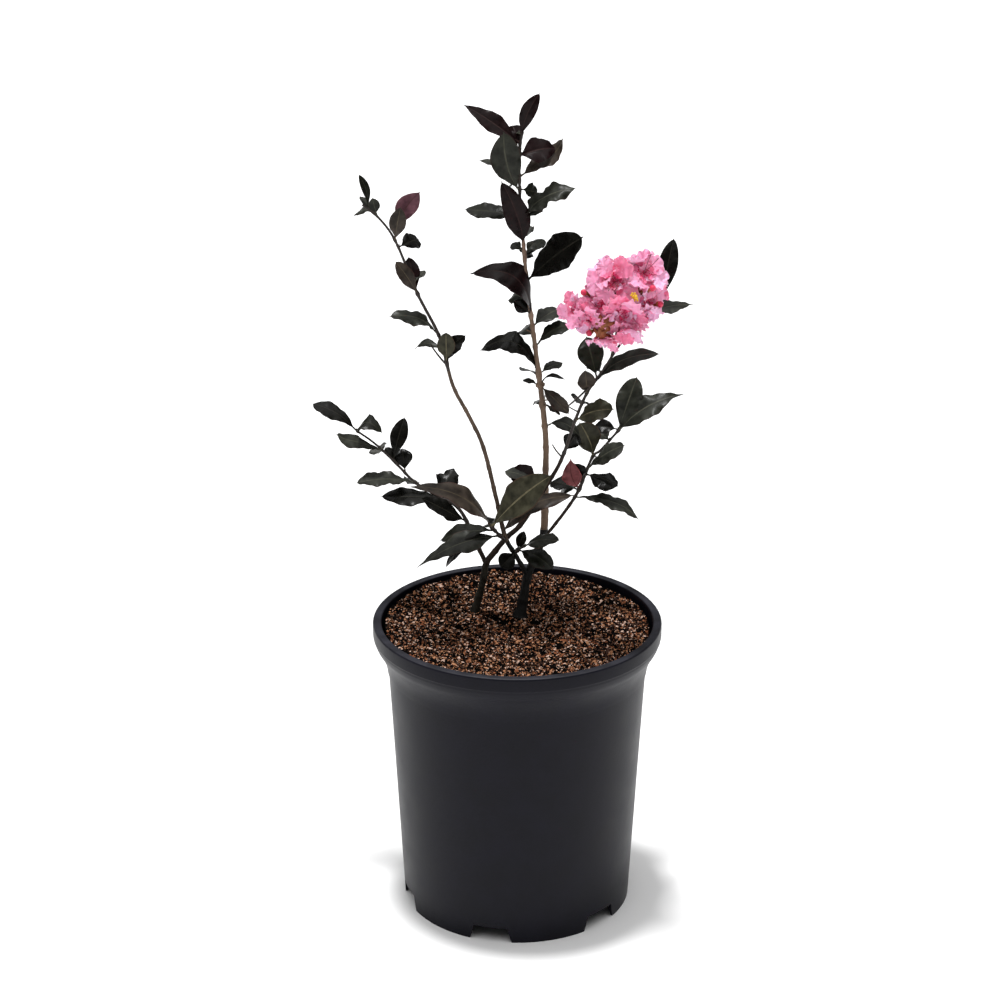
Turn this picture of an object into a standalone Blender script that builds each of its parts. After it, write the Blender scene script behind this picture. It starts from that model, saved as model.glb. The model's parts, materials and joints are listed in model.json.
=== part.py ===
"""A potted crape myrtle: a young dark-leaved shrub with one pink flower head.

Two stems rise from the potting mix in a plain nursery pot and fork into five thin boughs.
Each bough ends where it enters a mass of foliage, and each mass is one solid: a twig with
its leaves fused to it. Lengths are in millimetres and angles in degrees until a mesh is
made, X runs to the right, Y to the back and Z up, and the origin is on the ground under
the middle of the pot. A heading is counted from the right: 90 is back, 180 left, 270 front.
"""

import math
import random
from typing import NamedTuple

import bmesh
import bpy
import numpy as np
from mathutils.bvhtree import BVHTree

MM = 0.001
CLEAR = 0.3             # gap between pieces that touch

# The pot
POT_SIDES = 48
POT_HEIGHT = 227.0
RIM_RADIUS = 108.0
RIM_BAND = 12.0         # height of the upright band round the rim
RIM_WIDTH = 6.5         # width of the rim seen from above
RIM_SWELL = 0.2         # how far the band widens towards its top
RIM_BEVELS = (2.0, 1.2, 1.0)    # height and width of the outer bevel, and the inner bevel
SHOULDER_HEIGHTS = (170.0, 190.0, 199.5, 206.0)     # where the straight taper flares out
SHOULDER_RADII = (95.6, 97.7, 100.2, 103.6)
FOOT_RADIUS = 86.5
WALL = 2.0
PAD_RADIUS = 60.0       # flat middle of the underside
CHANNEL_HEIGHT = 14.0   # clear height under the raised ring round the pad
CHANNEL_SLOPE = 3.0     # how much wider the pad's upright wall is at its top
NOTCHES = 6
FIRST_NOTCH = -103.5    # heading of the first notch in the foot
NOTCH_HEIGHT = 12.0
NOTCH_BASE_ARC = 21.0
NOTCH_TOP_ARC = 17.0
CUTTER_BELOW = 4.0      # how far a notch's cutter reaches under the foot
CUTTER_INSIDE = 8.0     # and inside and outside the wall
CUTTER_OUTSIDE = 6.0
POT_CREASE = 35.0       # least angle of an edge that stays crisp

# The potting mix
SOIL_LEVEL = 217.0
SOIL_FLAT_RADIUS = 56.0
SOIL_RINGS = (86.0, 70.0)
SOIL_EDGE_RISE = 5.2    # mean rise of the mix towards the wall
SOIL_EDGE_TILT = 2.8    # how much more it rises on its high side
SOIL_HIGH_SIDE = 120.0

# Limbs, leaves and flowers
LIMB_SIDES = 8
TWIG_SIDES = 5
LIMB_STEP = 12.0
FLARE_RINGS = (3.0, 7.0)    # extra rings where a stem flares at its root
FLARE_REACH = 6.0           # how fast the flare dies out
LIMB_CREASE = 60.0
TWIG_STEP = 9.0
RING_TURN = (0.3, 0.9, 0.1)     # fixes where a tube's rings start
START_STEP = 0.1        # step in the search for a limb's clear start
AXIS_STEP = 0.5         # step along the limbs that it is measured to
LEAF_MARGIN = 1.0       # least way from a twig's start to its first leaf
RIM_GUARD = 1.0         # how far leaves keep off the rim
RIM_GUARD_FOOT = 200.0
HEART_GUARD = 16.0      # how far leaves keep off the flower head's heart
FAR_LENGTHS = (26.0, 38.0)      # the seeded far-side leaves
FAR_HEADINGS = (62.0, 122.0)
FAR_RISES = (-28.0, 4.0)
FAR_WIDTH = 0.46                # as a share of the length
LEAF_THICKNESS = 0.55
LEAF_STOUTNESS = 90.0   # greatest length for its thickness
LEAF_ROOT = 0.08        # width at the stalk, as a share of the blade's
LEAF_WEDGE = 1.15       # the higher, the more a blade narrows to its stalk
LEAF_END = 0.965        # where the broad blade ends, as a share of its length
LEAF_LAST = 0.82        # the last place where its width is measured
LEAF_RIPPLE = 0.06      # uneven lift of its margins, as a share of its width
PETAL_THICKNESS = 0.5
PETAL_OUTLINE = ((0.38, 0.16), (0.68, 0.95), (1.0, 0.76))


class Leaf(NamedTuple):
    """One leaf, measured from the twig's middle line to the leaf's tip."""
    at: float               # distance along the line that carries it
    heading: float
    rise: float
    length: float
    width: float
    tilt: float = 20.0      # how far its upper face leans to the front
    arch: float = 0.08      # height of its bow, as a share of its length
    sweep: float = 0.0      # how far its middle is bent sideways, as a share of its length
    stalk: float = 3.0      # bare stalk before the blade
    fold: float = 8.0       # how far each half is folded up from the midrib
    peak: float = 0.55      # where the blade is widest, as a share of its length
    blunt: float = 0.6      # the lower, the blunter its end


class Route(NamedTuple):
    """The middle line of a limb, and its radius at some distances along it."""
    points: tuple
    girth: tuple
    flare: float = 0.0


class Mass(NamedTuple):
    """A mass of foliage on the stretch of a route from start to end."""
    route: str
    start: float
    end: float
    leaves: tuple
    far_leaves: int = 3     # leaves added on its far side by the seeded rule
    reach: float = 75.0     # how far from its twig the mass may spread


ROUTES = {
    "left": Route(
        ((-32, 37, 217), (-28, 36, 233), (-25, 35, 247), (-23, 32, 259), (-18, 30, 267),
         (-8, 25, 282), (4, 16, 298), (25, 4, 338), (33, -4, 358), (42, -12, 390),
         (50, -18, 412), (60, -24, 429), (66, -28, 441)),
        ((0, 2.6), (42, 2.5), (60, 2.1), (165, 1.3), (260, 0.9)), flare=1.4),
    "low_left": Route(
        ((-23, 32.5, 257), (-30, 34, 272), (-43, 38, 299), (-60, 42, 309), (-77, 45, 319),
         (-93, 48, 335), (-108, 50, 349), (-123, 50, 360)),
        ((0, 1.8), (60, 1.2), (148, 0.7))),
    "centre": Route(
        ((2, 26, 217), (5, 28, 232), (8, 30, 249), (15, 31, 268), (20, 32, 284),
         (21, 33, 325), (21, 33, 357), (18, 31, 389), (13, 27, 429), (7, 22, 476),
         (3, 16, 522), (1, 12, 552), (1, 8, 582), (4, 6, 603)),
        ((0, 3.5), (34, 3.1), (72, 2.9), (112, 2.3), (176, 2.0), (264, 1.3), (392, 0.8)),
        flare=2.2),
    "tall_left": Route(
        ((8, 30, 249), (-1, 21, 269), (-9, 14, 287), (-15.5, 8, 319), (-25, 2, 362),
         (-35.5, -2, 388), (-47, -6, 413), (-56, -10, 450), (-71, -14, 483), (-86, -19, 523),
         (-98, -21, 541), (-110, -22, 551)),
        ((0, 1.8), (120, 1.5), (250, 1.1), (328, 0.7))),
    "right": Route(
        ((20, 32, 280), (28, 35, 288), (45, 42, 311), (56, 48, 337), (63, 50, 343),
         (78, 55, 359)),
        ((0, 1.3), (40, 1.2), (102, 0.8))),
    "foot_left": Route(((-9, 14, 284), (-13, 6, 291), (-21, -3, 304)), ((0, 1.2), (26, 1.0))),
    "foot_right": Route(((-2, 21, 271), (1, 14, 277), (7, 8, 283)), ((0, 1.2), (19, 0.9))),
    "centre_back": Route(((21, 33, 316), (17, 37, 321), (12, 40, 324)),
                         ((0, 1.1), (12, 0.9))),
    "flower_stalk": Route(((66, -28, 441), (68, -36, 456), (72, -42, 482)),
                          ((0, 1.0), (42, 1.0))),
    "behind_flower": Route(((66, -28, 441), (76, -20, 453), (90, -11, 467), (106, -6, 478)),
                           ((0, 0.9), (60, 0.7))),
}

# Each limb: its route and the stretch of it that the limb takes up. A stretch that starts
# at None starts where the limb's cut end is clear of the limbs before it.
LIMBS = {
    "stem_left": ("left", 0, 42),
    "stem_right": ("centre", 0, 34),
    "bough_flower": ("left", 42, 161),
    "bough_centre": ("centre", 34, 150),
    "bough_tall_left": ("tall_left", None, 190),
    "bough_low_left": ("low_left", None, 30),
    "bough_right": ("right", None, 33),
}

MASSES = {
    "foliage_centre_low": Mass("centre", 150, 240, (
        Leaf(154, 335, -9, 29, 15, arch=0.3, fold=5),
        Leaf(172, 312, -12, 20, 5, arch=0.1),
        Leaf(187, 327, -35, 31, 13, arch=0.02, tilt=30),
        Leaf(188, 330, 18, 22, 5, arch=0.26),
        Leaf(187, 164, 12, 14, 6),
        Leaf(196, 30, 11, 21, 11, arch=0.15),
        Leaf(199, 170, 15, 46, 22, tilt=24, arch=0.43, stalk=1, fold=5),
        Leaf(218, 21, 20, 35, 16, arch=0.22, fold=5),
        Leaf(234, 45, 14, 30, 17))),
    "foliage_centre_middle": Mass("centre", 240, 330, (
        Leaf(242, 172, 34, 54, 24, tilt=28, arch=0.47, stalk=1, fold=5, peak=0.5),
        Leaf(244, 206, 40, 18, 10, tilt=60),
        Leaf(270, 341, 41, 56, 28, tilt=45, arch=0.03, sweep=0.02, fold=5, peak=0.6, blunt=0.5),
        Leaf(288, 58, 14, 29, 11),
        Leaf(293, 137, 15, 13, 9, tilt=40),
        Leaf(291, 40, 35, 12, 8, tilt=60),
        Leaf(298, 211, 69, 53, 18, tilt=75, sweep=-0.05, peak=0.4),
        Leaf(318, 160, 3, 43, 16, tilt=30, blunt=0.5),
        Leaf(318, 332, 24, 19, 8),
        Leaf(317, 347, 33, 48, 17, tilt=35, arch=0.19, fold=5))),
    "foliage_centre_top": Mass("centre", 330, 388, (
        Leaf(341, 34, -18, 16, 12, tilt=60),
        Leaf(348, 163, 21, 32, 10, tilt=10, arch=0.15),
        Leaf(339, 215, 73, 47, 22, tilt=80, sweep=0.08, peak=0.6),
        Leaf(350, 12, 31, 40, 18, tilt=30, arch=0.04, peak=0.62),
        Leaf(366, 21, 6, 28, 19, tilt=55, arch=0.15, stalk=1, peak=0.4, blunt=0.7),
        Leaf(368, 162, 47, 20, 14, tilt=50),
        Leaf(371, 115, 49, 19, 11, fold=40),
        Leaf(379, 338, 67, 36, 11, tilt=60, sweep=0.06, fold=12),
        Leaf(375, 171, 33, 48, 15, tilt=45, arch=0.05, peak=0.45, blunt=0.9))),
    "foliage_centre_back": Mass("centre_back", None, 12, (
        Leaf(7, 156, 11, 30, 14, blunt=0.5),
        Leaf(11, 150, 6, 24, 18, tilt=50, stalk=1, peak=0.35)), far_leaves=0),
    "foliage_tall_left_low": Mass("tall_left", 190, 242, (
        Leaf(197, 270, 72, 26, 13, tilt=70, blunt=0.5),
        Leaf(195, 330, 57, 29, 12, tilt=50, sweep=0.12),
        Leaf(206, 152, 2, 24, 10, arch=0.16),
        Leaf(219, 193, 24, 39, 16, arch=0.19, fold=4, blunt=0.5)),
        far_leaves=0),
    "foliage_tall_left_top": Mass("tall_left", 242, 332, (
        Leaf(253, 208, 57, 32, 11, tilt=50, blunt=0.5),
        Leaf(254, 120, 62, 27, 11, tilt=60),
        Leaf(262, 52, 27, 15, 7),
        Leaf(297, 290, 63, 31, 12, tilt=60),
        Leaf(298, 15, 60, 38, 15, tilt=60, arch=0.05, sweep=0.09, stalk=9, blunt=0.8),
        Leaf(319, 245, 66, 16, 8, tilt=60),
        Leaf(322, 149, 42, 16, 6),
        Leaf(327, 150, 73, 25, 6, tilt=60, sweep=-0.08))),
    "foliage_low_left": Mass("low_left", 30, 146, (
        Leaf(37, 197, 33, 42, 18, tilt=30, arch=0.01, peak=0.42),
        Leaf(61, 187, 4, 49, 20, arch=0.05, fold=3),
        Leaf(66, 55, 38, 26, 18),
        Leaf(87, 196, 5, 46, 17, blunt=0.5),
        Leaf(97, 101, 50, 20, 14, tilt=60, blunt=0.5),
        Leaf(107, 143, 46, 15, 8),
        Leaf(110, 48, 67, 34, 13, tilt=60, sweep=0.02),
        Leaf(121, 194, 20, 39, 15, arch=0.05, fold=4, peak=0.62, blunt=0.5),
        Leaf(145, 335, 5, 21, 18, arch=0.45, stalk=1, fold=5, peak=0.3),
        Leaf(145, 170, 30, 40, 16, tilt=25, arch=0.14, fold=5, peak=0.65, blunt=0.5))),
    "foliage_right": Mass("right", 33, 101, (
        Leaf(38, 349, -14, 51, 14, arch=0.13, fold=3),
        Leaf(44, 145, 2, 26, 18),
        Leaf(45, 232, 68, 30, 15, tilt=80, sweep=0.1, peak=0.4, blunt=1.0),
        Leaf(51, 225, 62, 19, 13, tilt=70),
        Leaf(57, 331, -10, 28, 20, fold=-8, blunt=0.5),
        Leaf(61, 341, 38, 37, 20, tilt=25, fold=2, peak=0.65, blunt=0.5),
        Leaf(72, 230, 61, 36, 20, tilt=75, sweep=-0.05, peak=0.62, blunt=0.45),
        Leaf(100, 176, 6, 19, 12, tilt=45, arch=0.1),
        Leaf(99, 35, 67, 43, 19, tilt=75, sweep=0.01, blunt=0.5),
        Leaf(98, 7, 29, 57, 22, tilt=30, arch=0.16, peak=0.4, blunt=1.3))),
    "foliage_flower_stem": Mass("left", 161, 256, (
        Leaf(166, 45, 40, 18, 14, tilt=40, blunt=0.5),
        Leaf(195, 332, 24, 34, 21, tilt=35, arch=0.12, fold=2, blunt=0.5),
        Leaf(220, 262, 60, 25, 13, tilt=60),
        Leaf(235, 115, 56, 32, 19, tilt=60),
        Leaf(229, 349, 28, 55, 17, arch=0.16, stalk=1, fold=3))),
    "foliage_behind_flower": Mass("behind_flower", None, 58, (
        Leaf(39, 25, 3, 40, 15, arch=0.09, fold=3, peak=0.42, blunt=1.5),
        Leaf(55, 60, 69, 46, 14, tilt=60, sweep=0.02)), far_leaves=1),
    "foliage_foot_left": Mass("foot_left", None, 26, (
        Leaf(10, 347, 34, 67, 22, arch=0.18, fold=3, peak=0.5),
        Leaf(12, 199, -15, 67, 24, arch=0.11, fold=3, peak=0.4, blunt=2.0),
        Leaf(13, 176, -35, 49, 10, arch=0.18),
        Leaf(20, 166, -16, 44, 20, arch=0.08),
        Leaf(25, 339, 45, 67, 26, tilt=45, arch=0.02, sweep=0.035, fold=10, peak=0.5, blunt=0.7),
        Leaf(24, 191, 31, 71, 24, arch=0.18, fold=4, peak=0.43, blunt=0.8))),
    "foliage_foot_right": Mass("foot_right", None, 18, (
        Leaf(6, 216, -33, 18, 14, tilt=70, blunt=0.5),
        Leaf(7, 310, 66, 20, 8, tilt=60),
        Leaf(8, 320, -12, 35, 19, arch=0.14, fold=3),
        Leaf(17, 328, 17, 33, 19, arch=0.14, fold=2, peak=0.45)), far_leaves=1),
}

# The flower head, on the tip of the left route
CORE = ((73, -42, 487), (20, 18, 21))           # middle and radii of its dense heart
SIDE_CORE = ((46, -40, 478), (9, 9, 8))         # the smaller cluster at its left
FLOWERS = 10
FLOWERS_LOW = -0.9                              # height of the lowest one on the core
FLOWER_SPREAD = 0.85                            # where a flower's cup sits in the core
PETALS = 5
PETAL_LENGTH = 19.0
PETAL_WIDTH = 15.0
PETAL_LEAN = 48.0                               # lean of a petal from its flower's axis
PETAL_LEAN_RANGE = 12.0
PETAL_SCALES = (0.88, 1.08)
PETAL_ROOT = 2.0                                # how deep a petal starts in the core
PETAL_BOW = 3.0                                 # how far its end bends down
PETAL_RIPPLE = 1.8
BRIDGE_RADIUS = 1.6                             # stalk between the two clusters
SIDE_FLOWERS = ((180, 5), (250, -5))            # headings and rises of its flowers
BUDS = 6
BUD_RADIUS = 2.9
BUD_STAND = 1.5                                 # how far a bud stands off its core
BUD_HEADINGS = (200.0, 160.0)                   # first heading, and the arc they spread over
BUD_RISES = (-30.0, -55.0, -80.0)

COLOURS = {
    "pot": ((0.016, 0.016, 0.019), 0.42),
    "soil": ((0.075, 0.038, 0.024), 0.95),
    "bark": ((0.085, 0.050, 0.030), 0.75),
    "leaf": ((0.020, 0.021, 0.014), 0.45),
    "petal": ((0.80, 0.16, 0.36), 0.6),
}


def clear_scene():
    """Removes every object of the scene."""
    for thing in list(bpy.data.objects):
        bpy.data.objects.remove(thing, do_unlink=True)


def material(name, colour):
    """A plain Principled material in one of the named colours."""
    base, roughness = COLOURS[colour]
    result = bpy.data.materials.new(name)
    result.use_nodes = True
    shader = result.node_tree.nodes["Principled BSDF"]
    shader.inputs["Base Color"].default_value = (*base, 1.0)
    shader.inputs["Roughness"].default_value = roughness
    return result


def new_object(name, points, faces, colour=None):
    """An object made of points in millimetres, with its own material if it has a colour."""
    mesh = bpy.data.meshes.new(name)
    mesh.from_pydata([tuple(MM * c for c in p) for p in points], [], faces)
    if colour:
        mesh.materials.append(material(name, colour))
    result = bpy.data.objects.new(name, mesh)
    bpy.context.scene.collection.objects.link(result)
    return result


def unit(vector):
    """The vector at length one."""
    return vector / np.linalg.norm(vector)


def heading_vector(heading, rise):
    """The unit vector with a heading in the ground plane and a rise above it."""
    h, r = math.radians(heading), math.radians(rise)
    return np.array([math.cos(h) * math.cos(r), math.sin(h) * math.cos(r), math.sin(r)])


class Line:
    """A smooth line through points, read by the distance along it."""

    SAMPLES = 12

    def __init__(self, points):
        knots = [np.array(p, float) for p in points]
        knots = [2 * knots[0] - knots[1], *knots, 2 * knots[-1] - knots[-2]]
        dense = []
        for a, b, c, d in zip(knots, knots[1:], knots[2:], knots[3:]):
            for step in range(self.SAMPLES):
                t = step / self.SAMPLES
                dense.append(0.5 * (2 * b + (c - a) * t + (2 * a - 5 * b + 4 * c - d) * t**2
                                    + (3 * b - a - 3 * c + d) * t**3))
        dense.append(knots[-2])
        self.dense = np.array(dense)
        steps = np.linalg.norm(np.diff(self.dense, axis=0), axis=1)
        self.along = np.concatenate([[0.0], np.cumsum(steps)])

    @property
    def length(self):
        return self.along[-1]

    def point(self, distance):
        """The point at a distance along the line, carried straight on past its end."""
        inside = min(max(distance, 0.0), self.length)
        found = np.array([np.interp(inside, self.along, axis) for axis in self.dense.T])
        if distance > self.length:
            found = found + (distance - self.length) * unit(self.dense[-1] - self.dense[-2])
        return found

    def direction(self, distance):
        """The unit vector along the line at a distance."""
        ahead = min(distance + 0.5, self.length)
        return unit(self.point(ahead) - self.point(ahead - 1.0))

    def stretch(self, start, end, step):
        """Evenly spaced distances from start to end, about a step apart."""
        return np.linspace(start, end, max(2, round((end - start) / step) + 1))


LINES = {name: Line(route.points) for name, route in ROUTES.items()}


def radius_at(name, distance):
    """The limb's radius on a route, with the flare at its root."""
    route = ROUTES[name]
    places, radii = zip(*route.girth)
    return np.interp(distance, places, radii) + route.flare * math.exp(-distance / FLARE_REACH)


def rings_along(line, places, radii, sides):
    """Round rings square to a line at places along it, turned as little as they can be."""
    side = np.cross(line.direction(places[0]), RING_TURN)
    rings = []
    for place, radius in zip(places, radii):
        forward = line.direction(place)
        side = unit(side - forward * np.dot(side, forward))
        up = np.cross(forward, side)
        turns = [math.tau * k / sides for k in range(sides)]
        rings.append([line.point(place) + radius * (math.cos(t) * side + math.sin(t) * up)
                      for t in turns])
    return rings


def loft(rings):
    """Points and faces of a closed skin over rings; a ring of one point closes an end."""
    points, first, faces = [], [], []
    for ring in rings:
        first.append(len(points))
        points.extend(ring)
    for low, high, a, b in zip(rings, rings[1:], first, first[1:]):
        count = max(len(low), len(high))
        for i in range(count):
            j = (i + 1) % count
            if len(low) == 1:
                faces.append((a, b + j, b + i))
            elif len(high) == 1:
                faces.append((a + i, a + j, b))
            else:
                faces.append((a + i, a + j, b + j, b + i))
    if len(rings[0]) > 1:
        faces.append(tuple(reversed(range(len(rings[0])))))
    if len(rings[-1]) > 1:
        faces.append(tuple(first[-1] + i for i in range(len(rings[-1]))))
    return points, faces


def limb_skin(name, start, end, sides, step):
    """A tapering tube along a stretch of a route, cut level where it stands on the mix."""
    line = LINES[name]
    on_soil = start == 0 and ROUTES[name].flare > 0
    places = line.stretch(start, end, step)
    if on_soil:
        places = np.sort(np.concatenate([places, FLARE_RINGS]))
    rings = rings_along(line, places, [radius_at(name, s) for s in places], sides)
    if on_soil:
        forward = line.direction(0.0)
        foot = SOIL_LEVEL + CLEAR
        rings[0] = [p + forward * (foot - p[2]) / forward[2] for p in rings[0]]
    return loft(rings)


def clear_start(name, others):
    """The first distance along a route where its cut end is clear of other stretches."""
    line = LINES[name]
    axes = []
    for route, start, end in others:
        places = LINES[route].stretch(start, end, AXIS_STEP)
        axes.append((np.array([LINES[route].point(s) for s in places]),
                     np.array([radius_at(route, s) for s in places])))
    distance = 0.0
    while True:
        ring = rings_along(line, [distance], [radius_at(name, distance)], LIMB_SIDES)[0]
        gaps = [np.min(np.linalg.norm(axis - p, axis=1) - radii)
                for axis, radii in axes for p in ring]
        if min(gaps) > CLEAR:
            return distance
        distance += START_STEP


def blade_width(leaf, share):
    """A blade's width along it, as a share of its greatest: a wedge and a rounded end."""
    if share < leaf.peak:
        return max(LEAF_ROOT, math.sin(math.pi / 2 * share / leaf.peak) ** LEAF_WEDGE)
    beyond = (share - leaf.peak) / (LEAF_END - leaf.peak)
    return math.cos(math.pi / 2 * beyond) ** leaf.blunt


def blade(route, leaf, grow=0.0):
    """A leaf's closed skin: a folded, bowed blade whose root is sunk in its twig."""
    rng = random.Random(f"{route} {leaf.at} {leaf.heading}")
    base = LINES[route].point(leaf.at)
    along = heading_vector(leaf.heading, leaf.rise)
    tilt = math.radians(leaf.tilt)
    face = np.array([0.0, -math.sin(tilt), math.cos(tilt)])
    face = unit(face - along * np.dot(face, along))
    side = np.cross(face, along)
    fold = math.tan(math.radians(leaf.fold))
    half = max(LEAF_THICKNESS, leaf.length / LEAF_STOUTNESS) / 2 + grow
    blade_length = leaf.length - leaf.stalk

    def axis(share):
        """The midrib's point at a share of the whole length."""
        bow = leaf.length * 4 * share * (1 - share)
        straight = base + along * (leaf.length + grow) * share
        return straight + face * leaf.arch * bow + side * leaf.sweep * bow

    rings = []
    for place in (0.0, 0.4 * leaf.peak, leaf.peak, LEAF_LAST):
        share = (leaf.stalk + place * blade_length) / leaf.length
        width = blade_width(leaf, place)
        reach = leaf.width / 2 * width + grow
        ripple = rng.uniform(-LEAF_RIPPLE, LEAF_RIPPLE) * leaf.width * width
        middle = axis(share)
        lifted = face * reach * fold
        right = middle + side * reach + lifted + face * ripple
        left = middle - side * reach + lifted - face * ripple
        rings.append([right + face * half, middle + face * half, left + face * half,
                      left - face * half, middle - face * half, right - face * half])
    rings.insert(0, [axis(0.0)])
    rings.append([axis(1.0)])
    return loft(rings)


def far_side_leaves(name, mass, start):
    """Leaves on the far side of a mass, placed by a rule seeded with its name."""
    rng = random.Random(name)
    first = min(leaf.at for leaf in mass.leaves)
    for k in range(mass.far_leaves):
        share = (k + rng.uniform(0.3, 0.7)) / mass.far_leaves
        length = rng.uniform(*FAR_LENGTHS)
        yield Leaf(max(start + 2, first + share * (mass.end - first)),
                   rng.uniform(*FAR_HEADINGS), rng.uniform(*FAR_RISES), length,
                   FAR_WIDTH * length)


def tree_of(skin):
    """A search tree over a skin, for testing what touches what."""
    points, faces = skin
    return BVHTree.FromPolygons([tuple(p) for p in points], faces)


def touches(skin, trees):
    """Whether a skin crosses any of the trees."""
    own = tree_of(skin)
    return any(own.overlap(tree) for tree in trees)


def largest_body(thing):
    """Drops every loose scrap and sealed hollow that fusing left beside the main body."""
    mesh = bmesh.new()
    mesh.from_mesh(thing.data)
    mesh.verts.ensure_lookup_table()
    seen, bodies = set(), []
    for vert in mesh.verts:
        if vert in seen:
            continue
        body, queue = [], [vert]
        seen.add(vert)
        while queue:
            here = queue.pop()
            body.append(here)
            for edge in here.link_edges:
                other = edge.other_vert(here)
                if other not in seen:
                    seen.add(other)
                    queue.append(other)
        bodies.append(body)
    bodies.sort(key=len)
    for body in bodies[:-1]:
        bmesh.ops.delete(mesh, geom=body, context="VERTS")
    mesh.to_mesh(thing.data)
    mesh.free()


def triangulate(thing):
    """Splits an object's faces into triangles."""
    mesh = bmesh.new()
    mesh.from_mesh(thing.data)
    bmesh.ops.triangulate(mesh, faces=mesh.faces)
    mesh.to_mesh(thing.data)
    mesh.free()


def fuse(name, skins, colour):
    """One solid from overlapping skins: the first is the base, the rest are joined to it."""
    base = new_object(name, *skins[0], colour)
    triangulate(base)
    parts = bpy.data.collections.new(name + "_parts")
    bpy.context.scene.collection.children.link(parts)
    for k, skin in enumerate(skins[1:]):
        part = new_object(f"{name}_part_{k}", *skin)
        triangulate(part)
        bpy.context.scene.collection.objects.unlink(part)
        parts.objects.link(part)
    union = base.modifiers.new("union", "BOOLEAN")
    union.operation = "UNION"
    union.operand_type = "COLLECTION"
    union.collection = parts
    union.solver = "EXACT"
    graph = bpy.context.evaluated_depsgraph_get()
    fused = bpy.data.meshes.new_from_object(base.evaluated_get(graph))
    base.modifiers.clear()
    base.data = fused
    for part in list(parts.objects):
        bpy.data.objects.remove(part, do_unlink=True)
    bpy.data.collections.remove(parts)
    largest_body(base)
    return base


def turned(name, profile, colour):
    """A closed body turned from a profile that starts and ends on the pot's axis."""
    rings = []
    for radius, height in profile:
        if radius == 0:
            rings.append([np.array([0.0, 0.0, height])])
        else:
            turns = [2 * math.pi * k / POT_SIDES for k in range(POT_SIDES)]
            rings.append([np.array([radius * math.cos(t), radius * math.sin(t), height])
                          for t in turns])
    result = new_object(name, *loft(rings), colour)
    result.data.shade_smooth()
    result.data.set_sharp_from_angle(angle=math.radians(POT_CREASE))
    return result


def outer_radius(height):
    """The pot's outer radius: a straight taper that flares out under the rim's band."""
    heights = (0.0, *SHOULDER_HEIGHTS, POT_HEIGHT - RIM_BAND)
    radii = (FOOT_RADIUS, *SHOULDER_RADII, RIM_RADIUS)
    return float(np.interp(height, heights, radii))


def inner_radius(height):
    """The pot's inner radius, one wall inside the outer one up to the rim's inner edge."""
    return min(outer_radius(height) - WALL, RIM_RADIUS - RIM_WIDTH)


def make_pot():
    """The pot: pad, raised channel, foot, tapering wall and thick rim, with its notches."""
    bevel_height, bevel_width, inner_bevel = RIM_BEVELS
    inner_rim = RIM_RADIUS - RIM_WIDTH
    channel_radius = PAD_RADIUS + CHANNEL_SLOPE
    floor = CHANNEL_HEIGHT + WALL
    profile = [(0, 0), (PAD_RADIUS, 0), (channel_radius, CHANNEL_HEIGHT),
               (FOOT_RADIUS - WALL, CHANNEL_HEIGHT), (FOOT_RADIUS - WALL, 0), (FOOT_RADIUS, 0)]
    profile += [(outer_radius(z), z) for z in SHOULDER_HEIGHTS]
    profile += [(RIM_RADIUS, POT_HEIGHT - RIM_BAND),
                (RIM_RADIUS + RIM_SWELL, POT_HEIGHT - bevel_height),
                (RIM_RADIUS - bevel_width, POT_HEIGHT), (inner_rim + inner_bevel, POT_HEIGHT),
                (inner_rim, POT_HEIGHT - inner_bevel)]
    profile += [(inner_radius(z), z) for z in reversed(SHOULDER_HEIGHTS)]
    profile += [(inner_radius(floor), floor), (channel_radius - WALL, floor),
                (PAD_RADIUS - WALL, WALL), (0, WALL)]
    pot = turned("pot", profile, "pot")
    cutters = bpy.data.collections.new("notch_cutters")
    bpy.context.scene.collection.children.link(cutters)
    for k in range(NOTCHES):
        cutters.objects.link(notch_cutter(k))
    cut = pot.modifiers.new("notches", "BOOLEAN")
    cut.operation = "DIFFERENCE"
    cut.operand_type = "COLLECTION"
    cut.collection = cutters
    cut.solver = "EXACT"


def notch_cutter(number):
    """A wedge that cuts one notch up from the pot's foot, wider at the ground."""
    heading = math.radians(FIRST_NOTCH + number * 360.0 / NOTCHES)
    out = np.array([math.cos(heading), math.sin(heading), 0.0])
    across = np.array([-out[1], out[0], 0.0])
    up = np.array([0.0, 0.0, 1.0])
    base = FOOT_RADIUS * math.tan(math.radians(NOTCH_BASE_ARC / 2))
    top = FOOT_RADIUS * math.tan(math.radians(NOTCH_TOP_ARC / 2))
    wide = base + (base - top) * CUTTER_BELOW / NOTCH_HEIGHT
    section = ((-wide, -CUTTER_BELOW), (wide, -CUTTER_BELOW), (top, NOTCH_HEIGHT),
               (-top, NOTCH_HEIGHT))
    rings = [[out * radius + across * x + up * z for x, z in section]
             for radius in (FOOT_RADIUS - CUTTER_INSIDE, FOOT_RADIUS + CUTTER_OUTSIDE)]
    cutter = new_object(f"notch_cutter_{number + 1}", *loft(rings))
    bpy.context.scene.collection.objects.unlink(cutter)
    cutter.hide_render = True
    cutter.display_type = "WIRE"
    return cutter


def soil_rise(x, y):
    """How far the mix stands above its level at a place: nothing in its flat middle."""
    radius = math.hypot(x, y)
    outward = (radius - SOIL_FLAT_RADIUS) / (RIM_RADIUS - RIM_WIDTH - SOIL_FLAT_RADIUS)
    share = min(max(outward, 0.0), 1.0)
    share = share * share * (3 - 2 * share)
    turn = math.atan2(y, x) - math.radians(SOIL_HIGH_SIDE)
    return share * (SOIL_EDGE_RISE + SOIL_EDGE_TILT * math.cos(turn))


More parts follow.
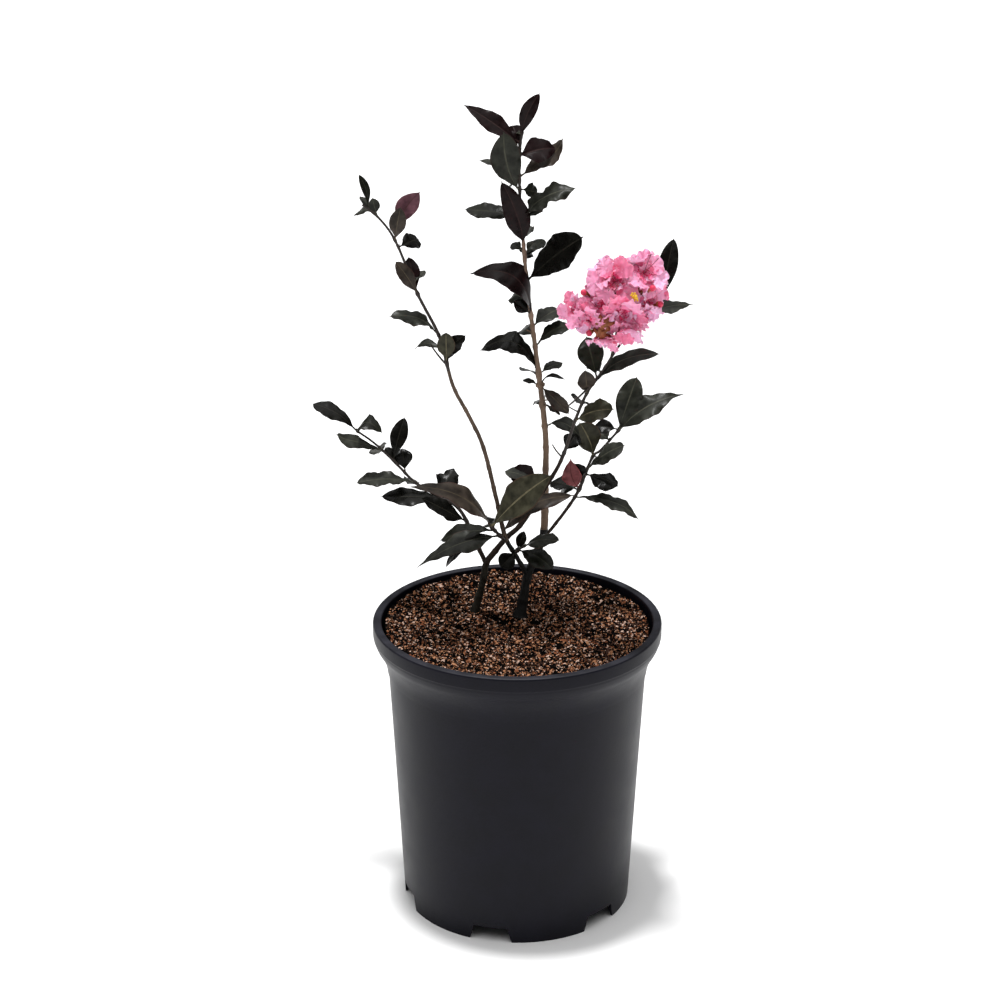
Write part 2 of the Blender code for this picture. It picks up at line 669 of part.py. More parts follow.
def make_soil():
    """The potting mix: a plug that fills the pot, with a gently uneven top."""
    floor = CHANNEL_HEIGHT + WALL + CLEAR
    edge = inner_radius(SOIL_LEVEL) - CLEAR
    pad = PAD_RADIUS - WALL - 2 * CLEAR
    profile = [(0, WALL + CLEAR), (pad, WALL + CLEAR), (pad + CHANNEL_SLOPE, floor),
               (inner_radius(floor) - CLEAR, floor)]
    profile += [(inner_radius(z) - CLEAR, z) for z in SHOULDER_HEIGHTS]
    profile += [(radius, SOIL_LEVEL) for radius in (edge, *SOIL_RINGS, SOIL_FLAT_RADIUS)]
    profile += [(0, SOIL_LEVEL)]
    soil = turned("potting_soil", profile, "soil")
    for vert in soil.data.vertices:
        if vert.co.z > (SOIL_LEVEL - 0.1) * MM:
            vert.co.z += soil_rise(vert.co.x / MM, vert.co.y / MM) * MM


def make_limbs():
    """The two stems and the five boughs. Returns each one's stretch and skin."""
    stretches, skins = [], {}
    for name, (route, start, end) in LIMBS.items():
        if start is None:
            start = clear_start(route, stretches)
        elif start > 0:
            start += CLEAR
        stretches.append((route, start, end))
        skins[name] = limb_skin(route, start, end, LIMB_SIDES, LIMB_STEP)
        limb = new_object(name, *skins[name], "bark")
        limb.data.shade_smooth()
        limb.data.set_sharp_from_angle(angle=math.radians(LIMB_CREASE))
    return stretches, skins


def mass_stretches(limb_stretches):
    """Where each mass's twig, and the flower head's stalk, starts and ends on its route."""
    result = {}
    spans = {name: (mass.route, mass.start, mass.end) for name, mass in MASSES.items()}
    for name, (route, start, end) in spans.items():
        if start is None:
            start = clear_start(route, limb_stretches + list(result.values()))
        else:
            start += CLEAR
        result[name] = (route, start, end)
        if route == "left":
            stalk = clear_start("flower_stalk", [result[name]])
            result["flower_head"] = ("flower_stalk", stalk, LINES["flower_stalk"].length)
    return result


def sphere_directions(count, low):
    """Directions spread evenly over a sphere, down to a lowest height, by golden angle."""
    golden = math.pi * (3 - math.sqrt(5))
    for k in range(count):
        z = 1 - (1 - low) * (k + 0.5) / count
        ring = math.sqrt(1 - z * z)
        yield np.array([ring * math.cos(golden * k), ring * math.sin(golden * k), z])


def ball(centre, radii, rows, sides):
    """A faceted ellipsoid's skin."""
    rings = [[np.array(centre) - (0, 0, radii[2])]]
    for row in range(1, rows):
        turn = math.pi * row / rows
        height = -math.cos(turn) * radii[2]
        rings.append([np.array(centre) + (math.sin(turn) * radii[0] * math.cos(a),
                                          math.sin(turn) * radii[1] * math.sin(a), height)
                      for a in (2 * math.pi * k / sides for k in range(sides))])
    rings.append([np.array(centre) + (0, 0, radii[2])])
    return loft(rings)


def petal(base, axis, side, rng):
    """A clawed petal: a narrow claw that opens into a ruffled, rounded blade."""
    lean = math.radians(PETAL_LEAN + rng.uniform(-PETAL_LEAN_RANGE, PETAL_LEAN_RANGE))
    along = unit(axis * math.cos(lean) + side * math.sin(lean))
    across = unit(np.cross(along, axis))
    face = np.cross(across, along)
    length = PETAL_LENGTH * rng.uniform(*PETAL_SCALES)
    rings = [[base - along * PETAL_ROOT]]
    for share, width in PETAL_OUTLINE:
        ripple = rng.uniform(-PETAL_RIPPLE, PETAL_RIPPLE) * width
        reach = PETAL_WIDTH / 2 * width
        bow = PETAL_BOW * share * share
        middle = base + along * length * share - face * bow
        right = middle + across * reach + face * ripple
        left = middle - across * reach - face * ripple
        lift = face * PETAL_THICKNESS / 2
        rings.append([right + lift, left + lift, left - lift, right - lift])
    return loft(rings)


def flower_skins(core, directions, rng):
    """The petals of flowers that stand out of a core in the given directions."""
    centre, radii = np.array(core[0], float), np.array(core[1], float)
    skins = []
    for direction in directions:
        cup = centre + direction * radii * FLOWER_SPREAD
        first = unit(np.cross(direction, (0.2, 0.1, 1.0)))
        second = np.cross(direction, first)
        offset = rng.uniform(0, math.tau)
        for k in range(PETALS):
            turn = offset + math.tau * k / PETALS
            side = first * math.cos(turn) + second * math.sin(turn)
            skins.append(petal(cup, direction, side, rng))
    return skins


def make_flower_head(stretch):
    """The one flower head: a dense heart on its stalk, with flowers and buds."""
    rng = random.Random("flower head")
    stalk = limb_skin(*stretch, TWIG_SIDES, TWIG_STEP)
    skins = [stalk, ball(*CORE, 6, 9), ball(*SIDE_CORE, 4, 7)]
    bridge = Line([SIDE_CORE[0], CORE[0]])
    ends = (0.0, bridge.length)
    skins.append(loft(rings_along(bridge, ends, (BRIDGE_RADIUS,) * len(ends), TWIG_SIDES)))
    skins += flower_skins(CORE, sphere_directions(FLOWERS, FLOWERS_LOW), rng)
    skins += flower_skins(SIDE_CORE, [heading_vector(h, r) for h, r in SIDE_FLOWERS], rng)
    for k in range(BUDS):
        turn = k % len(BUD_RISES)
        direction = heading_vector(BUD_HEADINGS[0] + BUD_HEADINGS[1] * k / BUDS, BUD_RISES[turn])
        core = SIDE_CORE if turn == 0 else CORE
        reach = np.array(core[1], float) + BUD_STAND
        centre = np.array(core[0], float) + direction * reach
        skins.append(ball(centre, (BUD_RADIUS,) * 3, 4, 6))
    fuse("flower_head", skins, "petal")


def make_masses(stretches, limb_skins):
    """The masses of foliage: each twig with the leaves that keep clear of all the rest."""
    twigs = {name: limb_skin(route, start, end, TWIG_SIDES, TWIG_STEP)
             for name, (route, start, end) in stretches.items()}
    fixed = [tree_of(skin) for skin in limb_skins.values()]
    turns = [math.tau * k / POT_SIDES for k in range(POT_SIDES)]
    guard = RIM_RADIUS + RIM_GUARD
    rim = [[np.array([guard * math.cos(t), guard * math.sin(t), z]) for t in turns]
           for z in (RIM_GUARD_FOOT, POT_HEIGHT + RIM_GUARD)]
    fixed.append(tree_of(loft(rim)))
    fixed.append(tree_of(ball(CORE[0], [r + HEART_GUARD for r in CORE[1]], 8, 12)))
    placed = {name: [tree_of(skin)] for name, skin in twigs.items()}
    for name, mass in MASSES.items():
        route, start, _ = stretches[name]
        others = fixed + [t for other, trees in placed.items() if other != name for t in trees]
        line = LINES[route]
        skins = [twigs[name]]
        for leaf in (*mass.leaves, *far_side_leaves(name, mass, start)):
            grown = blade(route, leaf, CLEAR)
            tip = grown[0][-1]
            nearest = np.min(np.linalg.norm(line.dense - tip, axis=1))
            early = leaf.at < start + LEAF_MARGIN
            if early or nearest > mass.reach or touches(grown, others):
                continue
            skins.append(blade(route, leaf))
            placed[name].append(tree_of(skins[-1]))
        fuse(name, skins, "leaf")


def main():
    """Builds the whole potted shrub."""
    clear_scene()
    make_pot()
    make_soil()
    stretches, skins = make_limbs()
    stretches = mass_stretches(stretches)
    make_masses(stretches, skins)
    make_flower_head(stretches["flower_head"])


main()
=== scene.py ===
"""The looks of a potted crape myrtle: dark glossy leaves, one pink flower head, a plain pot.

The solid model is loaded first, as a frame that stays as it is. Every class below draws one
kind of piece and lets it stand for the plain solids that it covers. Sizes are in millimetres
and angles in degrees until a mesh is made. X runs to the right, Y to the back and Z up, and
the origin is on the ground under the middle of the pot. A heading is counted from the right:
90 is back, 180 left and 270 front.
"""

import functools
import json
import logging
import math
import random
from dataclasses import dataclass
from enum import Enum
from typing import Callable, Iterator

import bpy
import numpy as np
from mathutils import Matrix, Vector, noise

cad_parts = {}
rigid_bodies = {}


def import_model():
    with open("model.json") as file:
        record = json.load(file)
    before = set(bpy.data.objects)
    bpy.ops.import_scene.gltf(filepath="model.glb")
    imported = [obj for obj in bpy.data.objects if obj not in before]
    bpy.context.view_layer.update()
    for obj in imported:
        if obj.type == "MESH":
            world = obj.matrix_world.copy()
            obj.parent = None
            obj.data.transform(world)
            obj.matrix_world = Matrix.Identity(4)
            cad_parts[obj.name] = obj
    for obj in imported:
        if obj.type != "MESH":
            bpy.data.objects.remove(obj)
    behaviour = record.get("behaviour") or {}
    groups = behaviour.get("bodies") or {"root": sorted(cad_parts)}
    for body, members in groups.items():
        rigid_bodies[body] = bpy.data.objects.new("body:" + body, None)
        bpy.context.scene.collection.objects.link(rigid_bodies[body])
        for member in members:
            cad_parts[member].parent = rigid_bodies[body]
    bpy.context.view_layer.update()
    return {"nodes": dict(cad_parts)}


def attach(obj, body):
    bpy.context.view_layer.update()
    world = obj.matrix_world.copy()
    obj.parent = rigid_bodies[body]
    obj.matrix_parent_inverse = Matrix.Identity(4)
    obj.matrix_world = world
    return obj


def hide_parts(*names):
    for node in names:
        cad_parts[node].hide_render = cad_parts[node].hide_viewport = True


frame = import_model()

MM = 0.001
BODY = "root"
UP = np.array([0.0, 0.0, 1.0])
SLANT = (0.3, 0.9, 0.1)         # a way that no limb runs, to turn the first ring of a tube from
log = logging.getLogger("crape_myrtle")
NOISE_SEED = 7
noise.seed_set(NOISE_SEED)


# Lines, rings and grids

def unit(vector: np.ndarray) -> np.ndarray:
    """The vector at length one."""
    return vector / np.linalg.norm(vector)


def heading_vector(heading: float, rise: float) -> np.ndarray:
    """The unit vector with a heading in the ground plane and a rise above it."""
    h, r = math.radians(heading), math.radians(rise)
    return np.array([math.cos(h) * math.cos(r), math.sin(h) * math.cos(r), math.sin(r)])


def eased(value: np.ndarray | float, low: float, high: float) -> np.ndarray | float:
    """A smooth step from zero at low to one at high."""
    share = np.clip((value - low) / (high - low), 0.0, 1.0)
    return share * share * (3 - 2 * share)


class Line:
    """A smooth line through points, read by the distance along it."""

    SAMPLES = 12

    def __init__(self, points: tuple) -> None:
        """Fits the line.

        Args:
            points: The points that the line runs through, in millimetres.
        """
        knots = [np.array(p, float) for p in points]
        knots = [2 * knots[0] - knots[1], *knots, 2 * knots[-1] - knots[-2]]
        dense = []
        for a, b, c, d in zip(knots, knots[1:], knots[2:], knots[3:]):
            for step in range(self.SAMPLES):
                t = step / self.SAMPLES
                dense.append(0.5 * (2 * b + (c - a) * t + (2 * a - 5 * b + 4 * c - d) * t**2
                                    + (3 * b - a - 3 * c + d) * t**3))
        dense.append(knots[-2])
        self.dense = np.array(dense)
        steps = np.linalg.norm(np.diff(self.dense, axis=0), axis=1)
        self.along = np.concatenate([[0.0], np.cumsum(steps)])

    @property
    def length(self) -> float:
        """The whole length of the line."""
        return float(self.along[-1])

    def points(self, distances: np.ndarray) -> np.ndarray:
        """The points at distances along the line."""
        return np.stack([np.interp(distances, self.along, axis) for axis in self.dense.T], 1)

    def point(self, distance: float) -> np.ndarray:
        """The point at one distance along the line."""
        return self.points(np.array([distance]))[0]


def grid_quads(rows: int, columns: int, closed: bool = False) -> np.ndarray:
    """Four-sided faces over a grid of points that is laid out row by row.

    Args:
        rows: Number of rows of points.
        columns: Number of points in a row.
        closed: Whether the last column is joined to the first.

    Returns:
        One line of four point numbers for each face.
    """
    row, column = np.meshgrid(np.arange(rows - 1), np.arange(columns if closed else columns - 1),
                              indexing="ij")
    after = (column + 1) % columns
    corners = (row * columns + column, row * columns + after,
               (row + 1) * columns + after, (row + 1) * columns + column)
    return np.stack([c.ravel() for c in corners], 1)


def turns_round(count: int) -> np.ndarray:
    """Even turns round a full circle, in radians."""
    return np.arange(count) * math.tau / count


def fan(hub: int, first: int, count: int) -> np.ndarray:
    """Triangles between one point and a closed ring of points.

    Args:
        hub: Number of the point in the middle.
        first: Number of the ring's first point.
        count: Number of points in the ring.

    Returns:
        One line of three point numbers for each triangle.
    """
    around = np.arange(count)
    return np.stack([np.full(count, hub), first + around, first + (around + 1) % count], 1)


def tube_rings(centres: np.ndarray, radii: np.ndarray, sides: int) -> np.ndarray:
    """Rings square to a line of centres, turned as little as they can be.

    Args:
        centres: One middle point for each ring.
        radii: The radius of each ring, or of each point of each ring.
        sides: Number of points in a ring.

    Returns:
        The points of all rings, ring after ring.
    """
    forward = np.gradient(centres, axis=0)
    side = np.cross(forward[0], SLANT)
    turns = turns_round(sides)
    rings = []
    for centre, direction, radius in zip(centres, forward, radii):
        direction = unit(direction)
        side = unit(side - direction * np.dot(side, direction))
        up = np.cross(direction, side)
        around = np.outer(np.cos(turns), side) + np.outer(np.sin(turns), up)
        rings.append(centre + around * np.reshape(radius, (-1, 1)))
    return np.concatenate(rings)


# Finishes

@dataclass(frozen=True)
class Finish:
    """A surface: its colour, how it drifts and spots, its gloss and its fine relief."""

    name: str
    colour: tuple[float, float, float]
    roughness: float = 0.5
    gloss: float = 0.5                              # specular level of the shader
    drift: float = 0.25                             # how far the colour drifts, as a share
    patch: float = 9.0                              # size of the drifting patches
    grain: float = 1.2                              # size of the relief's grain
    relief: float = 0.05                            # height of the relief
    stretch: tuple[float, float, float] = (1.0, 1.0, 1.0)
    softness: float = 0.0                           # share of light that goes through the skin
    sheen: float = 0.0

    DRIFT_ENDS = (0.32, 0.68)       # noise at which the colour is darkest and lightest
    GLOSS_DRIFT = 0.08              # how far the roughness drifts either way
    SOFT_REACH = 2.0                # how deep light goes into a soft skin
    SOFT_COLOURS = (0.9, 0.5, 0.5)  # how deep each colour goes, as a share of that

    def shade(self, factor: float) -> tuple[float, float, float, float]:
        """The finish's colour made darker or lighter by a factor."""
        return (*(min(1.0, c * factor) for c in self.colour), 1.0)

    def nodes_for(self, tree: bpy.types.NodeTree) -> None:
        """Adds the drift of colour, the uneven gloss and the relief to a shader.

        Args:
            tree: The node tree of a new material.
        """
        shader = tree.nodes["Principled BSDF"]
        shader.inputs["Specular IOR Level"].default_value = self.gloss
        shader.inputs["Subsurface Weight"].default_value = self.softness
        shader.inputs["Subsurface Radius"].default_value = self.SOFT_COLOURS
        shader.inputs["Subsurface Scale"].default_value = self.SOFT_REACH * MM
        shader.inputs["Sheen Weight"].default_value = self.sheen
        place = tree.nodes.new("ShaderNodeTexCoord")
        mapping = tree.nodes.new("ShaderNodeMapping")
        mapping.inputs["Scale"].default_value = self.stretch
        tree.links.new(place.outputs["Object"], mapping.inputs["Vector"])
        patches = self.noise_node(tree, mapping, self.patch, 4.0)
        ramp = tree.nodes.new("ShaderNodeValToRGB")
        shades = (self.shade(1 - self.drift), self.shade(1 + self.drift))
        for end, place_on_ramp, shade in zip(ramp.color_ramp.elements, self.DRIFT_ENDS, shades):
            end.position = place_on_ramp
            end.color = shade
        tree.links.new(patches.outputs["Fac"], ramp.inputs["Fac"])
        tree.links.new(ramp.outputs["Color"], shader.inputs["Base Color"])
        gloss = tree.nodes.new("ShaderNodeMapRange")
        gloss.inputs["To Min"].default_value = self.roughness - self.GLOSS_DRIFT
        gloss.inputs["To Max"].default_value = min(1.0, self.roughness + self.GLOSS_DRIFT)
        tree.links.new(patches.outputs["Fac"], gloss.inputs["Value"])
        tree.links.new(gloss.outputs["Result"], shader.inputs["Roughness"])
        bump = tree.nodes.new("ShaderNodeBump")
        bump.inputs["Distance"].default_value = self.relief * MM
        grains = self.noise_node(tree, mapping, self.grain, 3.0)
        tree.links.new(grains.outputs["Fac"], bump.inputs["Height"])
        tree.links.new(bump.outputs["Normal"], shader.inputs["Normal"])

    def noise_node(self, tree: bpy.types.NodeTree, mapping: bpy.types.Node, size: float,
                   detail: float) -> bpy.types.Node:
        """Adds a noise node.

        Args:
            tree: The node tree of the material.
            mapping: The node that gives the place on the piece.
            size: About how large the noise's features are, in millimetres.
            detail: Number of finer layers in the noise.

        Returns:
            The new node.
        """
        node = tree.nodes.new("ShaderNodeTexNoise")
        node.inputs["Scale"].default_value = 1 / (size * MM)
        node.inputs["Detail"].default_value = detail
        tree.links.new(mapping.outputs["Vector"], node.inputs["Vector"])
        return node


@functools.cache
def material_of(finish: Finish) -> bpy.types.Material:
    """Makes the material of a finish, once for each finish.

    Args:
        finish: The finish.

    Returns:
        Its material.
    """
    made = bpy.data.materials.new(finish.name)
    made.use_nodes = True
    finish.nodes_for(made.node_tree)
    return made


@dataclass(frozen=True)
class LeafFinish:
    """The four finishes of one leaf: upper side, margin, underside and midrib."""

    name: str
    top: tuple[float, float, float]
    under: tuple[float, float, float]
    rib: tuple[float, float, float]
    roughness: float

    MARGIN_TINT = (1.3, 0.9, 0.9)   # the margin's colour against the upper side's

    def upper(self) -> Finish:
        """The glossy upper side."""
        return Finish(f"leaf_{self.name}_upper", self.top, self.roughness, gloss=0.1, drift=0.5,
                      patch=7.0, grain=0.7, relief=0.06)

    def margin(self) -> Finish:
        """The thin margin, redder than the blade."""
        colour = tuple(part * tint for part, tint in zip(self.top, self.MARGIN_TINT))
        return Finish(f"leaf_{self.name}_margin", colour, gloss=0.1)

    def lower(self) -> Finish:
        """The duller, paler underside."""
        return Finish(f"leaf_{self.name}_under", self.under, gloss=0.1, drift=0.4, patch=6.0,
                      grain=0.5, relief=0.07)

    def midrib(self) -> Finish:
        """The midrib and the leaf's stalk."""
        return Finish(f"leaf_{self.name}_rib", self.rib, gloss=0.1, patch=3.0)


class LeafTone(Enum):
    """The tones that the leaves are dealt in."""

    BLACK = LeafFinish("black", (0.0042, 0.0040, 0.0031), (0.010, 0.0102, 0.0080),
                       (0.013, 0.012, 0.0085), 0.27)
    GREEN = LeafFinish("green", (0.0096, 0.0103, 0.0071), (0.020, 0.022, 0.016),
                       (0.026, 0.027, 0.018), 0.29)
    GREY = LeafFinish("grey", (0.0235, 0.0248, 0.0194), (0.046, 0.048, 0.038),
                      (0.060, 0.060, 0.044), 0.32)
    OLIVE = LeafFinish("olive", (0.038, 0.036, 0.023), (0.056, 0.051, 0.035),
                       (0.13, 0.115, 0.070), 0.38)
    BROWN = LeafFinish("brown", (0.036, 0.028, 0.022), (0.056, 0.045, 0.036),
                       (0.075, 0.060, 0.040), 0.38)
    BURGUNDY = LeafFinish("burgundy", (0.0090, 0.0040, 0.0042), (0.026, 0.013, 0.0145),
                          (0.028, 0.014, 0.013), 0.29)
    PLUM = LeafFinish("plum", (0.085, 0.036, 0.046), (0.13, 0.055, 0.065),
                      (0.060, 0.026, 0.028), 0.46)
    ROSE = LeafFinish("rose", (0.20, 0.062, 0.066), (0.30, 0.095, 0.095),
                      (0.10, 0.030, 0.030), 0.50)


def bark(name: str, colour: tuple[float, float, float], roughness: float = 0.75,
         gloss: float = 0.2, drift: float = 0.35, patch: float = 6.0, grain: float = 0.9,
         relief: float = 0.2, upright: float = 0.25) -> Finish:
    """A bark, with its grain drawn out up the limb: the lower upright is, the longer."""
    return Finish("bark_" + name, colour, roughness, gloss, drift, patch, grain, relief,
                  (1.0, 1.0, upright))


class BarkTone(Enum):
    """The tones of stems and twigs, from the root to the shoots, and a near-black one that paints the
    shade low under the crown.
    """

    ROOT = bark("root", (0.030, 0.027, 0.020), 0.85, drift=0.45, grain=1.1, relief=0.35,
                upright=0.35)
    # A near-black bark that paints the shade on the stems and boughs low under the crown.
    SHADED_BASE = bark("base_shade", (0.0085, 0.0085, 0.0080), 0.7, 0.25, 0.45, grain=1.1, relief=0.35,
               upright=0.35)
    DARK = bark("dark", (0.030, 0.020, 0.015), patch=7.0, upright=0.3)
    BROWN = bark("brown", (0.094, 0.064, 0.045), gloss=0.25)
    TAN = bark("tan", (0.170, 0.112, 0.076), gloss=0.3, upright=0.22)
    PALE = bark("pale", (0.19, 0.125, 0.088), 0.7, 0.3, 0.25, grain=0.8, relief=0.12)
    YOUNG = bark("young", (0.022, 0.015, 0.012), 0.6, 0.35, 0.3, 5.0, 0.7, 0.08, upright=0.3)


def petal_skin(name: str, colour: tuple[float, float, float], drift: float, softness: float,
               sheen: float = 0.3) -> Finish:
    """A soft crumpled petal."""
    return Finish("petal_" + name, colour, 0.6, gloss=0.3, drift=drift, patch=4.0, grain=0.8,
                  relief=0.08, softness=softness, sheen=sheen)


class PetalTone(Enum):
    """The pinks of a petal, from its claw to its frill, and the flower's small parts. The deep throat
    pink paints the shade in the flower's heart.
    """

    # The deep pink that paints the shade in the flower's heart.
    THROAT = petal_skin("throat", (0.74, 0.040, 0.15), 0.20, 0.30, sheen=0.2)
    MIDDLE = petal_skin("middle", (0.98, 0.20, 0.37), 0.14, 0.35)
    PALE = petal_skin("pale", (0.99, 0.34, 0.54), 0.10, 0.40)
    BLUSH = petal_skin("blush", (0.98, 0.21, 0.37), 0.12, 0.40)
    FADED = petal_skin("faded", (0.99, 0.47, 0.71), 0.10, 0.40)
    CALYX = Finish("calyx", (0.28, 0.090, 0.036), 0.6, 0.3, 0.35, 3.0, 0.7, 0.1)
    BUD = Finish("bud", (0.60, 0.030, 0.085), 0.45, 0.4, 0.3, 3.0, 0.7, 0.06)
    ANTHER = Finish("anther", (0.85, 0.50, 0.040), 0.7, 0.3, 0.2, 2.0, 0.4, 0.05)
    FILAMENT = Finish("filament", (0.20, 0.050, 0.055), 0.5, 0.4, 0.2, 3.0, 0.6, 0.03)


def crumb_skin(name: str, colour: tuple[float, float, float], roughness: float = 0.9,
               gloss: float = 0.2, drift: float = 0.35, relief: float = 0.2) -> Finish:
    """A crumb of composted bark."""
    return Finish("mix_" + name, colour, roughness, gloss, drift, patch=2.0, grain=0.4,
                  relief=relief)


class MixTone(Enum):
    """The browns of the potting mix: a near-black that paints the shade between the crumbs, and its
    crumbs from dark to light.
    """

    # Near-black: the surface between the crumbs, painted as the shade in their gaps.
    GAP_SHADE = Finish("mix_gap_shade", (0.0012, 0.0008, 0.0007), 0.95, 0.04, 0.4, 3.0, 0.5, 0.3)
    DARK = crumb_skin("dark", (0.0022, 0.0014, 0.0013), gloss=0.04, drift=0.4)
    BROWN = crumb_skin("brown", (0.040, 0.017, 0.010))
    RED = crumb_skin("red", (0.200, 0.068, 0.028), 0.85)
    LIGHT = crumb_skin("light", (0.37, 0.172, 0.086), 0.85, 0.25, 0.3, 0.15)
    FLECK = crumb_skin("fleck", (0.62, 0.43, 0.34), 0.8, 0.3, 0.2, 0.1)


# Pieces

class Draft:
    """One piece while it is drawn: its points, its faces and the finish of each face."""

    BALL_RINGS = 7
    BALL_CAP = 0.12                 # turn from a ball's end to its first ring, in radians

    def __init__(self, name: str) -> None:
        """Starts an empty piece.

        Args:
            name: The name that the piece gets.
        """
        self.name = name
        self.points: list[np.ndarray] = []
        self.faces: list[np.ndarray] = []
        self.slots: list[np.ndarray] = []
        self.finishes: list[Finish] = []
        self.count = 0

    def slot_of(self, finish: Finish) -> int:
        """Finds a finish among the piece's materials, or adds it.

        Args:
            finish: The finish.

        Returns:
            The finish's number.
        """
        if finish not in self.finishes:
            self.finishes.append(finish)
        return self.finishes.index(finish)

    def add(self, points: np.ndarray, *dressed: tuple[np.ndarray, Finish]) -> None:
        """Adds points and the faces between them.

        Args:
            points: New points, in millimetres.
            dressed: Pairs of faces, numbered from the first new point, and their finish.
        """
        self.points.append(np.asarray(points, float))
        for faces, finish in dressed:
            self.faces.append(np.asarray(faces) + self.count)
            self.slots.append(np.full(len(faces), self.slot_of(finish)))
        self.count += len(points)

    def add_tube(self, centres: np.ndarray, radii: np.ndarray, sides: int,
                 finish: Finish) -> None:
        """Adds a closed round tube.

        Args:
            centres: The tube's middle line.
            radii: The radius at each centre, or at each point of each ring.
            sides: Number of points in a ring.
            finish: The tube's finish.
        """
        rings = tube_rings(centres, radii, sides)
        start = len(rings)
        caps = np.concatenate([fan(start, 0, sides)[:, ::-1],
                               fan(start + 1, start - sides, sides)])
        points = np.concatenate([rings, [centres[0]], [centres[-1]]])
        self.add(points, (grid_quads(len(centres), sides, closed=True), finish), (caps, finish))

    def add_ball(self, centre: np.ndarray, axis: np.ndarray, radius: float, length: float,
                 finish: Finish, sides: int) -> None:
        """Adds a rounded bud.

        Args:
            centre: The bud's middle.
            axis: The way of its length.
            radius: Its greatest radius.
            length: Its length.
            finish: Its finish.
            sides: Number of points in a ring.
        """
        turns = np.linspace(self.BALL_CAP, math.pi - self.BALL_CAP, self.BALL_RINGS)
        centres = centre - np.outer(np.cos(turns), unit(axis)) * length / 2
        self.add_tube(centres, np.sin(turns) * radius, sides, finish)

    def piece(self, material_slot: str, replaced: tuple[str, ...], sharp: float = 50.0,
              smooth: bool = True) -> bpy.types.Object:
        """Makes the object, lets it ride with the plant and stand for its solids.

        Args:
            material_slot: The name of the record's material slot; not used.
            replaced: The solids that the piece stands for.
            sharp: The least angle between two faces that stays a crisp edge.
            smooth: Whether the faces are shaded smooth.

        Returns:
            The new object.
        """
        loops = np.concatenate([f.ravel() for f in self.faces])
        sizes = np.concatenate([np.full(len(f), f.shape[1]) for f in self.faces])
        mesh = bpy.data.meshes.new(self.name)
        mesh.vertices.add(self.count)
        mesh.vertices.foreach_set("co", (np.concatenate(self.points) * MM).ravel())
        mesh.loops.add(len(loops))
        mesh.loops.foreach_set("vertex_index", loops)
        mesh.polygons.add(len(sizes))
        mesh.polygons.foreach_set("loop_start", np.cumsum(sizes) - sizes)
        for finish in self.finishes:
            mesh.materials.append(material_of(finish))
        mesh.polygons.foreach_set("material_index", np.concatenate(self.slots))
        mesh.polygons.foreach_set("use_smooth", np.full(len(sizes), smooth))
        mesh.update(calc_edges=True)
        mesh.validate()
        if smooth:
            mesh.set_sharp_from_angle(angle=math.radians(sharp))
        made = bpy.data.objects.new(self.name, mesh)
        bpy.context.scene.collection.objects.link(made)
        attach(made, BODY)
        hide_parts(*replaced)
        log.info("piece %s: %d triangles", self.name, int(np.sum(sizes - 2)))
        return made


# The plant's routes and leaves

@dataclass(frozen=True)
class Leaf:
    """One leaf, measured from the twig's middle line to the leaf's tip."""

    at: float
    heading: float
    rise: float
    length: float
    width: float
    tone: LeafTone = LeafTone.GREEN
    tilt: float = 20.0      # how far its upper face leans to the front
    arch: float = 0.08      # height of its bow, as a share of its length
    sweep: float = 0.0      # how far its middle is bent sideways, as a share of its length
    stalk: float = 3.0      # bare stalk before the blade
    fold: float = 8.0       # how far each half is folded up from the midrib
    peak: float = 0.55      # where the blade is widest, as a share of its length
    blunt: float = 0.6      # the lower, the blunter its end
    curl: float = 0.0       # how far the tip turns up, as a share of the length
    wave: float = 0.05      # height of the waves in the margin, as a share of the width
    roll: float = 0.0       # how far the blade is turned about its midrib


@dataclass(frozen=True)
class Spur:
    """A bare bit of twig on a limb, bent sideways by a share of its length."""

    at: float
    heading: float
    rise: float
    length: float
    radius: float
    bend: float = 0.1


@dataclass(frozen=True)
class Route:
    """The middle line of a limb, and its radius at some distances along it."""

    points: tuple
    girth: tuple
    flare: float = 0.0
    flare_reach: float = 6.0        # how fast the flare at its root dies out

    @functools.cached_property
    def line(self) -> Line:
        """The smooth line through the route's points."""
        return Line(self.points)

    def radii(self, distances: np.ndarray) -> np.ndarray:
        """The limb's radius at distances along the route, with the flare at its root."""
        places, radii = zip(*self.girth)
        return np.interp(distances, places, radii) + self.flare * np.exp(-distances / self.flare_reach)


